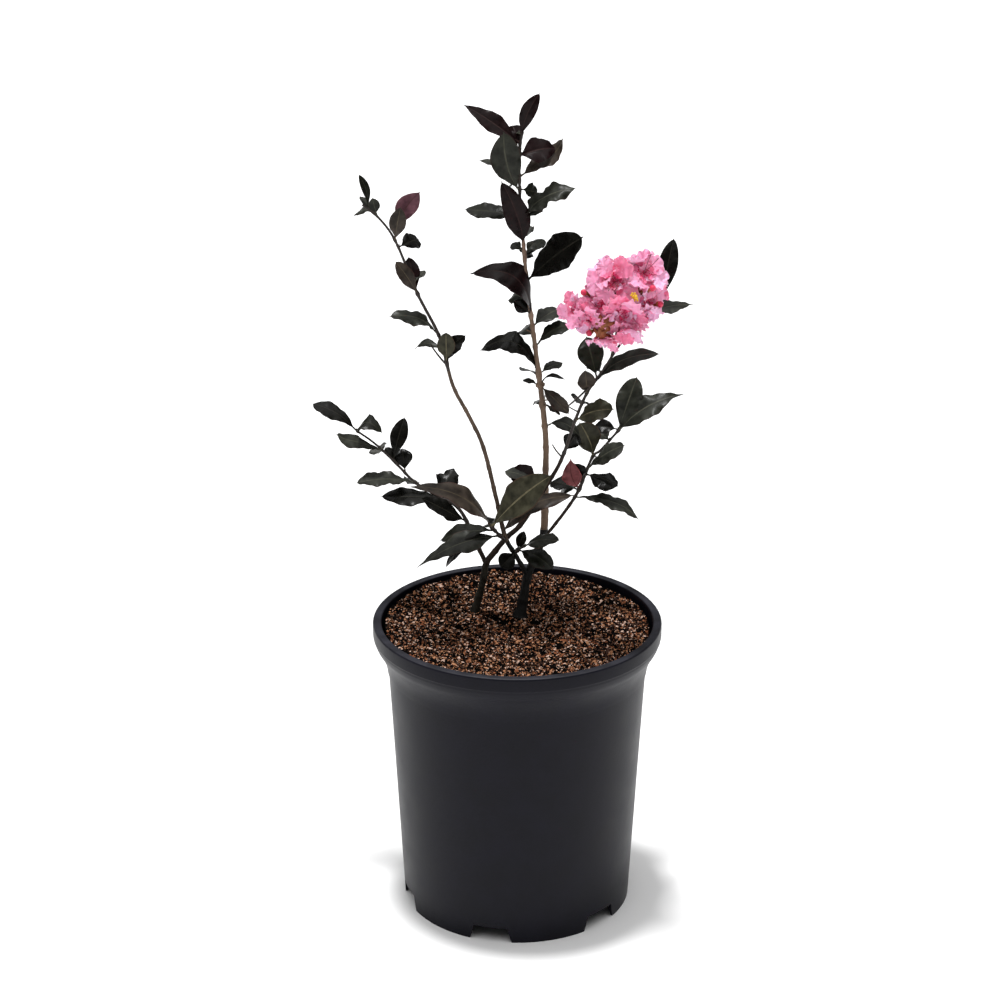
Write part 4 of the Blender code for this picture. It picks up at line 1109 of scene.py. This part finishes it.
@dataclass(frozen=True)
class Petal:
    """A clawed petal whose blade is crumpled like crepe paper."""

    length: float = 18.0
    width: float = 17.0
    claw: float = 0.22              # share of the length that the claw takes up
    thickness: float = 0.22
    crumple: float = 2.1            # height of the folds in the blade
    crumple_size: float = 5.5
    frill: float = 1.5              # height of the small waves round its edge
    bow: float = 3.2
    lobes: float = 0.08             # how far its three broad lobes stand out, as a share
    notches: float = 0.05           # how deep the notches in its edge are, as a share
    tip_width: float = 0.16         # how much wider it is at its end, as a share
    lift: float = 2.0               # most height of its edge over its middle
    claw_radius: float = 0.7
    throat_end: float = 0.14        # where the deep pink at the claw, painted shade of the flower's heart, ends along the blade
    middle_end: float = 0.36        # where the middle pink ends
    rings: int = 8
    sectors: int = 38
    tone: PetalTone = PetalTone.PALE

    FREE_EDGE = 0.35                # share of the crumple that is left next to the claw
    CRUMPLE_WAYS = (0.7, 0.7, 1.5)  # crumple along the blade, across it and up

    def draw(self, draft: Draft, cup: np.ndarray, axis: np.ndarray, side: np.ndarray,
             lean: float, rng: random.Random) -> None:
        """Adds the petal to a piece.

        Args:
            draft: The piece that takes it.
            cup: Where the claw starts.
            axis: The way the flower faces.
            side: The way out of the flower that the petal leans to.
            lean: How far the petal leans from the axis.
            rng: The flower's own source of chance.
        """
        turn = math.radians(lean)
        along = unit(axis * math.cos(turn) + side * math.sin(turn))
        across = unit(np.cross(along, axis))
        face = np.cross(across, along)
        half = self.length * (1 - self.claw) / 2
        middle = self.length * self.claw + half
        ring, angle = np.meshgrid(np.linspace(0.0, 1.0, self.rings + 1)[1:],
                                  np.arange(self.sectors) * math.tau / self.sectors,
                                  indexing="ij")
        uneven = 1 + self.lobes * ring * np.sin(3 * angle + rng.uniform(0, math.tau))
        uneven = uneven + self.notches * ring**3 * np.sin(rng.randint(7, 11) * angle)
        x = middle + half * ring * uneven * np.cos(angle)
        broad = 1 - self.tip_width + self.tip_width * np.cos(angle)
        y = self.width / 2 * ring * uneven * np.sin(angle) * broad
        free = self.FREE_EDGE + (1 - self.FREE_EDGE) * np.cos(angle / 2) ** 2
        waves = np.sin(rng.randint(8, 11) * angle + rng.uniform(0, math.tau))
        height = self.frill * ring**3 * waves * free - self.bow * (x / self.length) ** 2
        height = height + rng.uniform(0.0, self.lift) * ring**2
        flat = np.concatenate([np.stack([x, y, height], 2).reshape(-1, 3),
                               [[middle, 0.0, 0.0]]])
        shift = Vector([rng.uniform(0, 100)] * 3)
        folds = np.array([noise.noise_vector(Vector(p) / self.crumple_size + shift)
                          for p in flat])
        amount = self.crumple * np.append((ring * free).ravel(), 0.3)
        flat = flat + folds * amount[:, None] * np.array(self.CRUMPLE_WAYS)
        upper = cup + flat @ np.stack([along, across, face])
        self.skin(draft, upper, face, ring, angle)
        # The claw takes the deep pink that paints the shade in the flower's heart.
        claw_end = cup + along * (middle - 0.8 * half) - face * 0.5
        draft.add_tube(np.linspace(cup, claw_end, 5),
                       np.linspace(0.5, 0.9, 5) * self.claw_radius, 6, PetalTone.THROAT.value)

    def skin(self, draft: Draft, upper: np.ndarray, face: np.ndarray, ring: np.ndarray,
             angle: np.ndarray) -> None:
        """Adds both sides of the blade, pale at the frill and deep pink at the claw, where the deep
        pink paints the shade in the flower's heart.

        Args:
            draft: The piece that takes it.
            upper: Points of the upper side, ring by ring, and its middle point last.
            face: The way that the upper side faces.
            ring: How far out each point is, as a share.
            angle: The turn of each point round the blade's middle.
        """
        count = len(upper)
        rows, sectors = ring.shape
        quads = grid_quads(rows, sectors, closed=True)
        middle_fan = fan(count - 1, 0, sectors)
        depth = ((1 + ring * np.cos(angle)) / 2).ravel()[quads[:, 0]]
        throat = depth < self.throat_end
        pale = depth >= self.middle_end
        around = np.arange(sectors)
        rim = (rows - 1) * sectors + around
        next_rim = (rows - 1) * sectors + (around + 1) % sectors
        seam = np.stack([next_rim, rim, rim + count, next_rim + count], 1)
        points = np.concatenate([upper, upper - face * self.thickness])
        tone, middle = self.tone.value, PetalTone.MIDDLE.value
        # The throat faces take the deep pink that paints the shade in the flower's heart.
        draft.add(points, (quads[throat], PetalTone.THROAT.value),
                  (quads[~throat & ~pale], middle), (quads[pale], tone), (middle_fan, tone),
                  (quads[~pale][:, ::-1] + count, middle),
                  (quads[pale][:, ::-1] + count, tone), (middle_fan[:, ::-1] + count, tone),
                  (seam, tone))


@dataclass(frozen=True)
class Facing:
    """Where a flower's cup is, the way it faces, and two ways square to that."""

    cup: np.ndarray
    axis: np.ndarray
    first: np.ndarray
    second: np.ndarray

    def side(self, turn: float) -> np.ndarray:
        """The way out of the flower at a turn round its axis, in radians."""
        return self.first * math.cos(turn) + self.second * math.sin(turn)


@dataclass(frozen=True)
class Stamen:
    """A kind of stamen: how it leans and bends, its sizes and the tone of its anther."""

    leans: tuple[float, float]
    lengths: tuple[float, float]
    bend: float
    radius: float
    anther: float
    tone: PetalTone


SHORT_STAMEN = Stamen((0.0, 0.5), (5, 8), 0.4, 0.16, 0.85, PetalTone.ANTHER)
LONG_STAMEN = Stamen((0.5, 0.9), (12, 15), 2.5, 0.20, 0.42, PetalTone.FILAMENT)


@dataclass(frozen=True)
class Bloom:
    """One open flower of the head: where its cup is and which way it faces."""

    cup: tuple[float, float, float]
    heading: float
    rise: float
    petals: int = 6
    lean: float = 64.0              # lean of its petals from the way it faces
    scale: float = 1.0
    turn: float = 0.0               # where its first petal is
    stamens: int = 0                # short ones with yellow anthers
    long_stamens: int = 0
    heart: int = 5                  # small inner petals that close the throat
    sepals: int = 6
    calyx_drop: float = 4.5         # how far behind the cup the calyx's middle lies

    TONES = (PetalTone.PALE, PetalTone.PALE, PetalTone.BLUSH, PetalTone.FADED)
    TURN_JITTER = 0.25              # how far a petal's turn strays, in radians
    LEAN_JITTER = 18.0
    SIZES = (0.82, 1.12)            # least and greatest size of a petal, as a share
    HEART_PETAL = 9.5               # length of a petal in the throat
    HEART_SIZES = (0.85, 1.15)
    HEART_LEANS = (30, 75)

    def draw(self, petals: Draft, parts: Draft, rng: random.Random) -> None:
        """Adds the flower's petals, calyx and stamens.

        Args:
            petals: The piece that takes the petals.
            parts: The piece that takes the calyx and the stamens.
            rng: The head's source of chance.
        """
        axis = heading_vector(self.heading, self.rise)
        first = unit(np.cross(axis, (0.2, 0.1, 1.0)))
        facing = Facing(np.array(self.cup, float), axis, first, np.cross(axis, first))
        for k in range(self.petals):
            turn = math.radians(self.turn) + math.tau * k / self.petals
            side = facing.side(turn + rng.uniform(-self.TURN_JITTER, self.TURN_JITTER))
            size = self.scale * rng.uniform(*self.SIZES)
            petal = Petal(length=Petal.length * size, width=Petal.width * size,
                          tone=rng.choice(self.TONES))
            lean = self.lean + rng.uniform(-self.LEAN_JITTER, self.LEAN_JITTER)
            petal.draw(petals, facing.cup, axis, side, lean, rng)
        if self.petals:
            self.draw_heart(petals, facing, rng)
        parts.add_ball(facing.cup - axis * self.calyx_drop, axis, 2.6 * self.scale,
                       5.5 * self.scale, PetalTone.CALYX.value, 12)
        if not self.petals and not self.stamens:
            self.draw_sepals(parts, facing)
        self.draw_stamens(parts, facing, rng)

    def draw_heart(self, petals: Draft, facing: Facing, rng: random.Random) -> None:
        """Adds the small crumpled petals in the throat.

        Args:
            petals: The piece that takes them.
            facing: Where the flower is and how it faces.
            rng: The head's source of chance.
        """
        for k in range(self.heart):
            side = facing.side(math.tau * k / self.heart + rng.uniform(-0.4, 0.4))
            size = self.HEART_PETAL * self.scale * rng.uniform(*self.HEART_SIZES)
            petal = Petal(length=size, width=size, claw=0.1, crumple=1.9, bow=1.0, rings=5,
                          sectors=22, tone=rng.choice(self.TONES[1:]))
            petal.draw(petals, facing.cup - facing.axis * 1.5, facing.axis, side,
                       rng.uniform(*self.HEART_LEANS), rng)

    def draw_sepals(self, parts: Draft, facing: Facing) -> None:
        """Adds the star of pointed sepals that a flower without petals shows.

        Args:
            parts: The piece that takes them.
            facing: Where the flower is and how it faces.
        """
        steps = np.linspace(0, 1, 6)
        for k in range(self.sepals):
            side = facing.side(math.radians(self.turn) + math.tau * k / self.sepals)
            centres = facing.cup + np.outer(steps, side * 6.0 * self.scale)
            centres = centres - np.outer(steps**2, facing.axis * 3.0)
            parts.add_tube(centres, 2.3 * self.scale * (1.05 - steps) ** 0.7, 7,
                           PetalTone.CALYX.value)

    def draw_stamens(self, parts: Draft, facing: Facing, rng: random.Random) -> None:
        """Adds the short yellow stamens and the few long curved ones.

        Args:
            parts: The piece that takes them.
            facing: Where the flower is and how it faces.
            rng: The head's source of chance.
        """
        steps = np.linspace(0, 1, 5)[:, None]
        for k in range(self.stamens + self.long_stamens):
            kind = LONG_STAMEN if k >= self.stamens else SHORT_STAMEN
            side = facing.side(rng.uniform(0, math.tau))
            way = unit(facing.axis + side * rng.uniform(*kind.leans))
            reach = rng.uniform(*kind.lengths)
            centres = facing.cup + way * reach * steps + facing.axis * kind.bend * steps**2
            parts.add_tube(centres, np.full(5, kind.radius), 5, PetalTone.FILAMENT.value)
            parts.add_ball(centres[-1], side + facing.axis, kind.anther, 1.8, kind.tone.value, 6)


@dataclass(frozen=True)
class FlowerHead:
    """The one flower head: flowers, buds and stalks, in the reach of its solid."""

    core: tuple = ((73, -42, 487), (20, 18, 21))        # middle and reach of the head
    side_core: tuple = ((46, -40, 478), (9, 9, 8))      # the same of the lobe at its left
    low_buds: int = 3
    low_bud_lift: float = 1.5       # how far the buds under the head stand out of its reach
    bud_radius: float = 2.3
    hub_drop: float = 12.0          # where the flowers' stalks leave the stem, under its end

    BLOOMS = (
        Bloom((66, -54, 504), 255, 20, 6, 64, 1.02, 20, long_stamens=3),
        Bloom((78, -62, 496), 280, 10, 0, stamens=24),
        Bloom((86, -50, 508), 290, 35, 6, 62, 0.95, 50, long_stamens=2),
        Bloom((89, -50, 491), 312, -5, 6, 62, 0.92, 10),
        Bloom((73, -57, 483), 266, -18, 6, 62, 1.0, 0),
        Bloom((76, -53, 473), 270, -50, 5, 48, 0.92, 40),
        Bloom((87, -49, 480), 302, -32, 5, 56, 0.80, 30),
        Bloom((59, -59, 475), 255, -5, 0, turn=15, scale=1.3),
        Bloom((57, -58, 467), 245, -25, 0, turn=45, scale=1.1),
        Bloom((58, -52, 489), 236, 0, 6, 64, 0.98, 40),
        Bloom((63, -45, 506), 212, 42, 6, 64, 0.86, 15),
        Bloom((41, -48, 482), 238, 0, 6, 62, 0.76, 25),
        Bloom((50, -52, 478), 248, -15, 6, 62, 0.74, 5),
        Bloom((62, -52, 466), 250, -62, 5, 40, 0.82, 20),
        Bloom((77, -41, 510), 95, 75, 6, 62, 0.95, 0),
        Bloom((70, -27, 497), 105, 18, 6, 64, 0.95, 30, stamens=10, long_stamens=3),
        Bloom((88, -33, 494), 45, 20, 6, 64, 0.92, 5, stamens=8, long_stamens=2),
        Bloom((78, -28, 478), 80, -28, 6, 60, 0.92, 45),
        Bloom((58, -34, 489), 150, 8, 6, 62, 0.88, 10, stamens=8),
    )
    BUDS = ((45, -50, 495), (92, -60, 501), (98, -52, 487), (49, -55, 467), (54, -57, 463))

    def build(self) -> None:
        """Makes the petals, the small green and red parts and the stalks."""
        petals, parts = Draft("petals"), Draft("stamens_and_buds")
        stalks = Draft("flower_stalks")
        rng = random.Random("flower head")
        stalk = ROUTES["flower_stalk"]
        Limb(stalk, 0, stalk.line.length, BarkTone.YOUNG).draw(stalks)
        hub = stalk.line.point(stalk.line.length - self.hub_drop)
        middle = np.array(self.core[0], float)
        for bloom in self.BLOOMS:
            bloom.draw(petals, parts, rng)
            cup = np.array(bloom.cup, float)
            self.pedicel(stalks, hub, cup - heading_vector(bloom.heading, bloom.rise) * 4)
        for place in self.BUDS:
            centre = np.array(place, float)
            self.bud(parts, stalks, centre, unit(centre - middle), hub)
        for k in range(self.low_buds):
            core = self.side_core if k % 3 == 0 else self.core
            direction = heading_vector(200 + 160 * k / self.low_buds, -30 - 25 * (k % 3))
            centre = np.array(core[0]) + direction * (np.array(core[1]) + self.low_bud_lift)
            self.bud(parts, stalks, centre, direction, hub)
        petals.piece("blossom", ("flower_head",), sharp=80)
        parts.piece("blossom", ("flower_head",))
        stalks.piece("blossom", ("flower_head",))

    def bud(self, parts: Draft, stalks: Draft, centre: np.ndarray, direction: np.ndarray,
            hub: np.ndarray) -> None:
        """Adds a round closed bud on its stalk.

        Args:
            parts: The piece that takes the bud.
            stalks: The piece that takes its stalk.
            centre: The bud's middle.
            direction: The way it points.
            hub: Where the flowers' stalks leave the stem.
        """
        parts.add_ball(centre, direction, self.bud_radius, 2 * self.bud_radius,
                       PetalTone.BUD.value, 14)
        parts.add_ball(centre - direction * 1.6, direction, self.bud_radius * 0.86, 3.4,
                       PetalTone.CALYX.value, 12)
        self.pedicel(stalks, hub, centre - direction * 2)

    def pedicel(self, stalks: Draft, hub: np.ndarray, end: np.ndarray) -> None:
        """Adds the thin stalk of one flower or bud.

        Args:
            stalks: The piece that takes it.
            hub: Where it starts.
            end: Where it ends.
        """
        steps = np.linspace(0, 1, 7)[:, None]
        sag = 3.0 * UP * (steps * (1 - steps))
        stalks.add_tube(hub + (end - hub) * steps + sag, np.linspace(0.6, 0.9, 7), 7,
                        PetalTone.CALYX.value)


# The pot and the potting mix

@dataclass(frozen=True)
class NurseryPot:
    """The plain moulded pot: tapering wall, flared shoulder, thick rim and notched foot."""

    height: float = 227.0
    rim_radius: float = 108.0
    rim_band: float = 12.0
    rim_width: float = 6.5
    highlight_depth: float = 0.9         # how far down the rim's top is painted paler, as its highlight
    foot_radius: float = 86.5
    wall: float = 2.0
    pad_radius: float = 60.0
    channel_height: float = 14.0
    notches: int = 6
    first_notch: float = -103.5
    notch_height: float = 12.0
    notch_base_arc: float = 21.0
    notch_top_arc: float = 17.0
    cutter_reach: tuple[float, float] = (-8.0, 6.0)     # from the foot's radius, in and out
    cutter_below: float = 4.0
    edge_round: float = 1.4         # rounding of the rim's lower and inner edges
    rim_round: float = 1.8          # rounding of the rim's upper edge
    sides: int = 180

    SHOULDER = ((95.6, 170), (97.4, 188), (99.2, 197), (102.6, 205), (105.6, 210))
    PLASTIC = Finish("moulded_plastic", (0.0047, 0.0045, 0.0088), 0.42, gloss=0.13, drift=0.2,
                     patch=22.0, grain=1.6, relief=0.06)
    # The rim's top, painted paler than the plastic as the highlight that it catches from above.
    RIM_HIGHLIGHT = Finish("pot_rim_highlight", (0.019, 0.019, 0.025), 0.5, gloss=0.15, drift=0.4, patch=14.0,
                      grain=1.2, relief=0.06)

    def outer_line(self) -> np.ndarray:
        """Draws the outer wall up from the foot.

        Returns:
            Its points from the foot to the rim's band, as radius and height.
        """
        keys = ((self.foot_radius, 0), *self.SHOULDER,
                (self.rim_radius - 0.4, self.height - self.rim_band))
        line = Line(tuple((r, z, 0.0) for r, z in keys))
        places = np.concatenate([np.linspace(0, 166, 30), np.linspace(170, line.length, 34)])
        return line.points(places)[:, :2]

    def rounded(self, centre: tuple[float, float], radius: float, start: float,
                end: float) -> list[tuple[float, float]]:
        """Draws a round corner.

        Args:
            centre: The middle of the rounding, as radius and height.
            radius: Its radius.
            start: The heading of its first point in the section.
            end: The heading of its last point.

        Returns:
            Its points, as radius and height.
        """
        turns = [math.radians(start + (end - start) * k / 6) for k in range(7)]
        return [(centre[0] + radius * math.cos(t), centre[1] + radius * math.sin(t))
                for t in turns]

    def profile(self) -> np.ndarray:
        """Draws the wall's section.

        Returns:
            Its outline from the pad's middle out, up, over the rim and back inside.
        """
        outer = self.outer_line()
        top, rim = self.height, self.rim_radius
        inner_rim = rim - self.rim_width
        floor = self.channel_height + self.wall
        inner = [(min(r - self.wall, inner_rim), z) for r, z in outer[::-1] if z > floor]
        outline = [(0.0, 0.0), (self.pad_radius, 0.0),
                   (self.pad_radius + 3, self.channel_height),
                   (self.foot_radius - self.wall, self.channel_height),
                   (self.foot_radius - self.wall, 0.0)]
        outline += [tuple(p) for p in outer]
        edge, lip = self.edge_round, self.rim_round
        outline += self.rounded((rim - edge, top - self.rim_band + 2.2), edge, -40, 0)
        outline += self.rounded((rim - lip, top - lip), lip, 0, 90)
        outline += self.rounded((inner_rim + edge, top - edge), edge, 90, 180)
        outline += inner
        outline += [(self.foot_radius, floor), (self.pad_radius + 1, floor),
                    (self.pad_radius - self.wall, self.wall), (0.0, self.wall)]
        return np.array(outline)

    def build(self) -> None:
        """Makes the pot and cuts the notches into its foot."""
        profile = self.profile()
        turns = turns_round(self.sides)
        rings = profile[1:-1]
        points = np.stack([np.outer(rings[:, 0], np.cos(turns)),
                           np.outer(rings[:, 0], np.sin(turns)),
                           np.repeat(rings[:, 1:], self.sides, 1)], 2).reshape(-1, 3)
        count = len(points)
        points = np.concatenate([points, [[0, 0, profile[0][1]], [0, 0, profile[-1][1]]]])
        fans = np.concatenate([fan(count, 0, self.sides)[:, ::-1],
                               fan(count + 1, count - self.sides, self.sides)])
        quads = grid_quads(len(rings), self.sides, closed=True)
        # The faces of the rim's top take the paler finish that paints its highlight.
        high = rings[:, 1] > self.height - self.highlight_depth
        row = quads[:, 0] // self.sides
        highlighted_top = high[row] & high[row + 1]
        draft = Draft("nursery_pot")
        draft.add(points, (quads[~highlighted_top], self.PLASTIC), (quads[highlighted_top], self.RIM_HIGHLIGHT),
                  (fans, self.PLASTIC))
        pot = draft.piece("pot", ("pot",), sharp=40)
        self.cut_notches(pot)

    def cut_notches(self, pot: bpy.types.Object) -> None:
        """Cuts the notches and keeps the result as the pot's own mesh.

        Args:
            pot: The pot.
        """
        cutters = bpy.data.collections.new("notch_cutters")
        bpy.context.scene.collection.children.link(cutters)
        for k in range(self.notches):
            cutters.objects.link(self.notch_cutter(self.first_notch + k * 360 / self.notches))
        cut = pot.modifiers.new("notches", "BOOLEAN")
        cut.operation = "DIFFERENCE"
        cut.operand_type = "COLLECTION"
        cut.collection = cutters
        cut.solver = "EXACT"
        graph = bpy.context.evaluated_depsgraph_get()
        made = bpy.data.meshes.new_from_object(pot.evaluated_get(graph))
        pot.modifiers.clear()
        pot.data = made
        for cutter in list(cutters.objects):
            bpy.data.objects.remove(cutter, do_unlink=True)
        bpy.data.collections.remove(cutters)

    def notch_cutter(self, heading: float) -> bpy.types.Object:
        """Makes a wedge that cuts one notch up from the foot, wider at the ground.

        Args:
            heading: The notch's heading.

        Returns:
            The wedge.
        """
        out = heading_vector(heading, 0)
        across = np.array([-out[1], out[0], 0.0])
        base = self.foot_radius * math.tan(math.radians(self.notch_base_arc / 2))
        top = self.foot_radius * math.tan(math.radians(self.notch_top_arc / 2))
        below = self.cutter_below
        wide = base + (base - top) * below / self.notch_height
        section = ((-wide, -below), (wide, -below), (top, self.notch_height),
                   (-top, self.notch_height))
        points = [(out * (self.foot_radius + reach) + across * x + z * UP) * MM
                  for reach in self.cutter_reach for x, z in section]
        faces = [(0, 1, 5, 4), (1, 2, 6, 5), (2, 3, 7, 6), (3, 0, 4, 7), (3, 2, 1, 0),
                 (4, 5, 6, 7)]
        mesh = bpy.data.meshes.new("notch_cutter")
        mesh.from_pydata([tuple(p) for p in points], [], faces)
        return bpy.data.objects.new("notch_cutter", mesh)


@dataclass(frozen=True)
class PottingMix:
    """The bark-based mix: a rough surface with loose crumbs lying on it."""

    level: float = 217.0
    radius: float = 99.0
    flat_radius: float = 56.0
    edge_rise: float = 5.2          # how much higher the mix stands at the wall
    edge_tilt: float = 2.8          # and how much more of that on its high side
    high_side: float = 120.0
    settle: float = 0.6             # how far the surface lies under the crumbs' level
    depth: float = 24.0
    rings: int = 66
    sectors: int = 210
    coarse: int = 2600
    coarse_sizes: tuple[float, float] = (1.0, 1.7)
    fine: int = 23000
    fine_sizes: tuple[float, float] = (0.55, 0.95)
    wall_gap: float = 0.8           # least distance of a crumb from the mix's edge
    hollow_shade_depth: float = 1.7         # how deep a crumb lies that is always painted dark, as the shade in the hollows
    pit_depth: float = 2.6
    pit_slope: float = 0.6
    pits: tuple = ((-57, -2, 6), (-44, 8, 4), (66, -13, 5), (58, -4, 5), (-66, 28, 5),
                   (14, 18, 9), (-18, 26, 6), (40, 22, 5), (-34, -22, 4))

    LUMPS = ((1.6, 17, 3.1), (1.5, 5.5, 7.7), (1.0, 2.2, 1.3))      # height, width and seed
    SHARES = {MixTone.DARK: 8, MixTone.BROWN: 4, MixTone.RED: 3, MixTone.LIGHT: 3,
              MixTone.FLECK: 2}
    CORNERS = np.concatenate([np.eye(3), -np.eye(3)])
    FACES = np.array(((0, 1, 2), (0, 5, 1), (0, 2, 4), (0, 4, 5), (1, 3, 2), (1, 5, 3),
                      (2, 3, 4), (3, 5, 4)))
    GOLDEN_TURN = 137.50776         # from one crumb to the next, so that they lie evenly
    TURN_JITTER = 9.0
    FLAT_SPREAD = 0.5               # how far the crumbs are tipped, in radians

    def height(self, x: float, y: float) -> float:
        """Works out the surface's height at a place: its tilt, its lumps and its pits.

        Args:
            x: Where the place is, to the right.
            y: Where the place is, to the back.

        Returns:
            The height over the ground.
        """
        share = float(eased(math.hypot(x, y), self.flat_radius, self.radius + 3))
        turn = math.atan2(y, x) - math.radians(self.high_side)
        rise = share * (self.edge_rise + self.edge_tilt * math.cos(turn))
        lumps = sum(high * noise.noise(Vector((x / wide, y / wide, seed)))
                    for high, wide, seed in self.LUMPS)
        for px, py, wide in self.pits:
            far = ((x - px) ** 2 + (y - py) ** 2) / (self.pit_slope * wide) ** 2
            lumps -= self.pit_depth * math.exp(-far)
        return self.level + rise + lumps - self.settle

    def build(self) -> None:
        """Makes the surface and the crumbs."""
        self.surface()
        self.crumbs("mix_coarse", self.coarse, self.coarse_sizes, "coarse crumbs")
        self.crumbs("mix_fine", self.fine, self.fine_sizes, "fine crumbs")

    def surface(self) -> None:
        """Makes the closed plug whose rough top shows between the crumbs, near-black as their painted
        shade.
        """
        reach = np.linspace(0, self.radius, self.rings + 1)[1:]
        turns = turns_round(self.sectors)
        top = [(r * math.cos(t), r * math.sin(t), self.height(r * math.cos(t), r * math.sin(t)))
               for r in reach for t in turns]
        base_level = self.level - self.depth
        foot = [((self.radius - 1.5) * math.cos(t), (self.radius - 1.5) * math.sin(t),
                 base_level) for t in turns]
        points = np.array([*top, *foot, (0, 0, self.height(0, 0)), (0, 0, base_level)])
        count = len(points)
        middle = fan(count - 2, 0, self.sectors)
        under = fan(count - 1, len(top), self.sectors)[:, ::-1]
        quads = grid_quads(self.rings + 1, self.sectors, closed=True)[:, ::-1]
        draft = Draft("mix_surface")
        draft.add(points, *((faces, MixTone.GAP_SHADE.value) for faces in (quads, middle, under)))
        draft.piece("potting_mix", ("potting_soil",))

    def crumbs(self, name: str, count: int, sizes: tuple[float, float], seed: str) -> None:
        """Makes one joined piece of angular crumbs.

        Args:
            name: The piece's name.
            count: Number of crumbs.
            sizes: Least and greatest radius of a crumb.
            seed: What the crumbs' places and shapes are seeded with.
        """
        rng = random.Random(seed)
        draft = Draft(name)
        tones = [tone for tone, share in self.SHARES.items() for _ in range(share)]
        for k in range(count):
            out = (self.radius - self.wall_gap) * math.sqrt((k + rng.random()) / count)
            turn = math.radians(k * self.GOLDEN_TURN
                                + rng.uniform(-self.TURN_JITTER, self.TURN_JITTER))
            x, y = out * math.cos(turn), out * math.sin(turn)
            size = rng.uniform(*sizes) * rng.uniform(0.7, 1.15)
            stretch = np.array([rng.uniform(0.9, 1.7), rng.uniform(0.6, 1.0),
                                rng.uniform(0.45, 0.9)])
            bumps = np.array([[rng.uniform(0.75, 1.3)] for _ in self.CORNERS])
            spin = np.array(self.turned(rng))
            level = self.height(x, y)
            middle = np.array([x, y, level + size * rng.uniform(-0.1, 0.45)])
            points = middle + (self.CORNERS * bumps * stretch * size) @ spin
            # Crumbs that lie deep in the hollows are painted dark as their shade.
            low = level < self.level - self.hollow_shade_depth
            tone = MixTone.DARK if low else rng.choice(tones)
            draft.add(points, (self.FACES, tone.value))
        draft.piece("potting_mix", ("potting_soil",), smooth=False)

    def turned(self, rng: random.Random) -> tuple[np.ndarray, np.ndarray, np.ndarray]:
        """Draws three square directions at random, mostly lying flat.

        Args:
            rng: The crumbs' source of chance.

        Returns:
            The three directions.
        """
        spin, pitch = rng.uniform(0, math.tau), rng.gauss(0, self.FLAT_SPREAD)
        first = heading_vector(math.degrees(spin), math.degrees(pitch))
        second = unit(np.cross(UP, first))
        return first, second, np.cross(first, second)


# The studio

@dataclass(frozen=True)
class Sun:
    """A broad soft light that comes from one side of the sky."""

    name: str
    heading: float
    height: float
    strength: float
    spread: float                           # how broad the light is in the sky

    def build(self) -> None:
        """Makes the light."""
        light = bpy.data.lights.new(self.name, "SUN")
        light.energy = self.strength
        light.angle = math.radians(self.spread)
        lamp = bpy.data.objects.new(self.name, light)
        bpy.context.scene.collection.objects.link(lamp)
        toward = Vector(heading_vector(self.heading, self.height))
        lamp.rotation_mode = "QUATERNION"
        lamp.rotation_quaternion = toward.to_track_quat("Z", "Y")


@dataclass(frozen=True)
class Studio:
    """A pale floor under soft light, and the camera at the picture's place."""

    floor_side: float = 30000.0
    camera_place: tuple[float, float, float] = (-12.9, -1750.0, 996.0)
    camera_drop: float = 21.07              # how far the camera looks down
    focal_pixels: float = 2553.0            # focal length in pixels of the square picture
    picture_side: float = 1000.0
    sensor_width: float = 36.0
    sky: float = 0.12

    FLOOR = Finish("pale_floor", (0.90, 0.90, 0.90), 0.7, gloss=0.2, drift=0.01, patch=400.0,
                   grain=20.0, relief=0.01)
    SUNS = (Sun("overhead", 172.0, 87.0, 2.7, 6.0), Sun("dome", 172.0, 88.0, 2.3, 96.0))

    def build(self) -> None:
        """Makes the floor, the lights, the sky and the camera."""
        self.floor()
        for sun in self.SUNS:
            sun.build()
        world = bpy.data.worlds.new("sky")
        world.use_nodes = True
        background = world.node_tree.nodes["Background"]
        background.inputs["Color"].default_value = (1.0, 1.0, 1.0, 1.0)
        background.inputs["Strength"].default_value = self.sky
        bpy.context.scene.world = world
        bpy.context.scene.view_settings.view_transform = "Standard"
        self.camera()

    def floor(self) -> None:
        """Makes the floor, which is no part of the plant."""
        half = self.floor_side / 2 * MM
        mesh = bpy.data.meshes.new("floor")
        mesh.from_pydata([(-half, -half, 0), (half, -half, 0), (half, half, 0),
                          (-half, half, 0)], [], [(0, 1, 2, 3)])
        mesh.materials.append(material_of(self.FLOOR))
        floor = bpy.data.objects.new("floor", mesh)
        bpy.context.scene.collection.objects.link(floor)

    def camera(self) -> None:
        """Makes the camera."""
        data = bpy.data.cameras.new("camera")
        data.sensor_width = self.sensor_width
        data.lens = self.focal_pixels / self.picture_side * self.sensor_width
        camera = bpy.data.objects.new("camera", data)
        bpy.context.scene.collection.objects.link(camera)
        camera.location = tuple(c * MM for c in self.camera_place)
        camera.rotation_euler = (math.radians(90 - self.camera_drop), 0.0, 0.0)
        bpy.context.scene.camera = camera


def main() -> None:
    """Builds the pot, the mix, the limbs, the foliage, the flower head and the studio."""
    logging.basicConfig(level=logging.INFO, format="%(name)s %(message)s")
    builders: tuple[Callable[[], None], ...] = (
        NurseryPot().build, PottingMix().build, Branchwork().build,
        *(mass.build for mass in MASSES), FlowerHead().build, Studio().build)
    for build in builders:
        build()


if __name__ == "__main__":
    main()
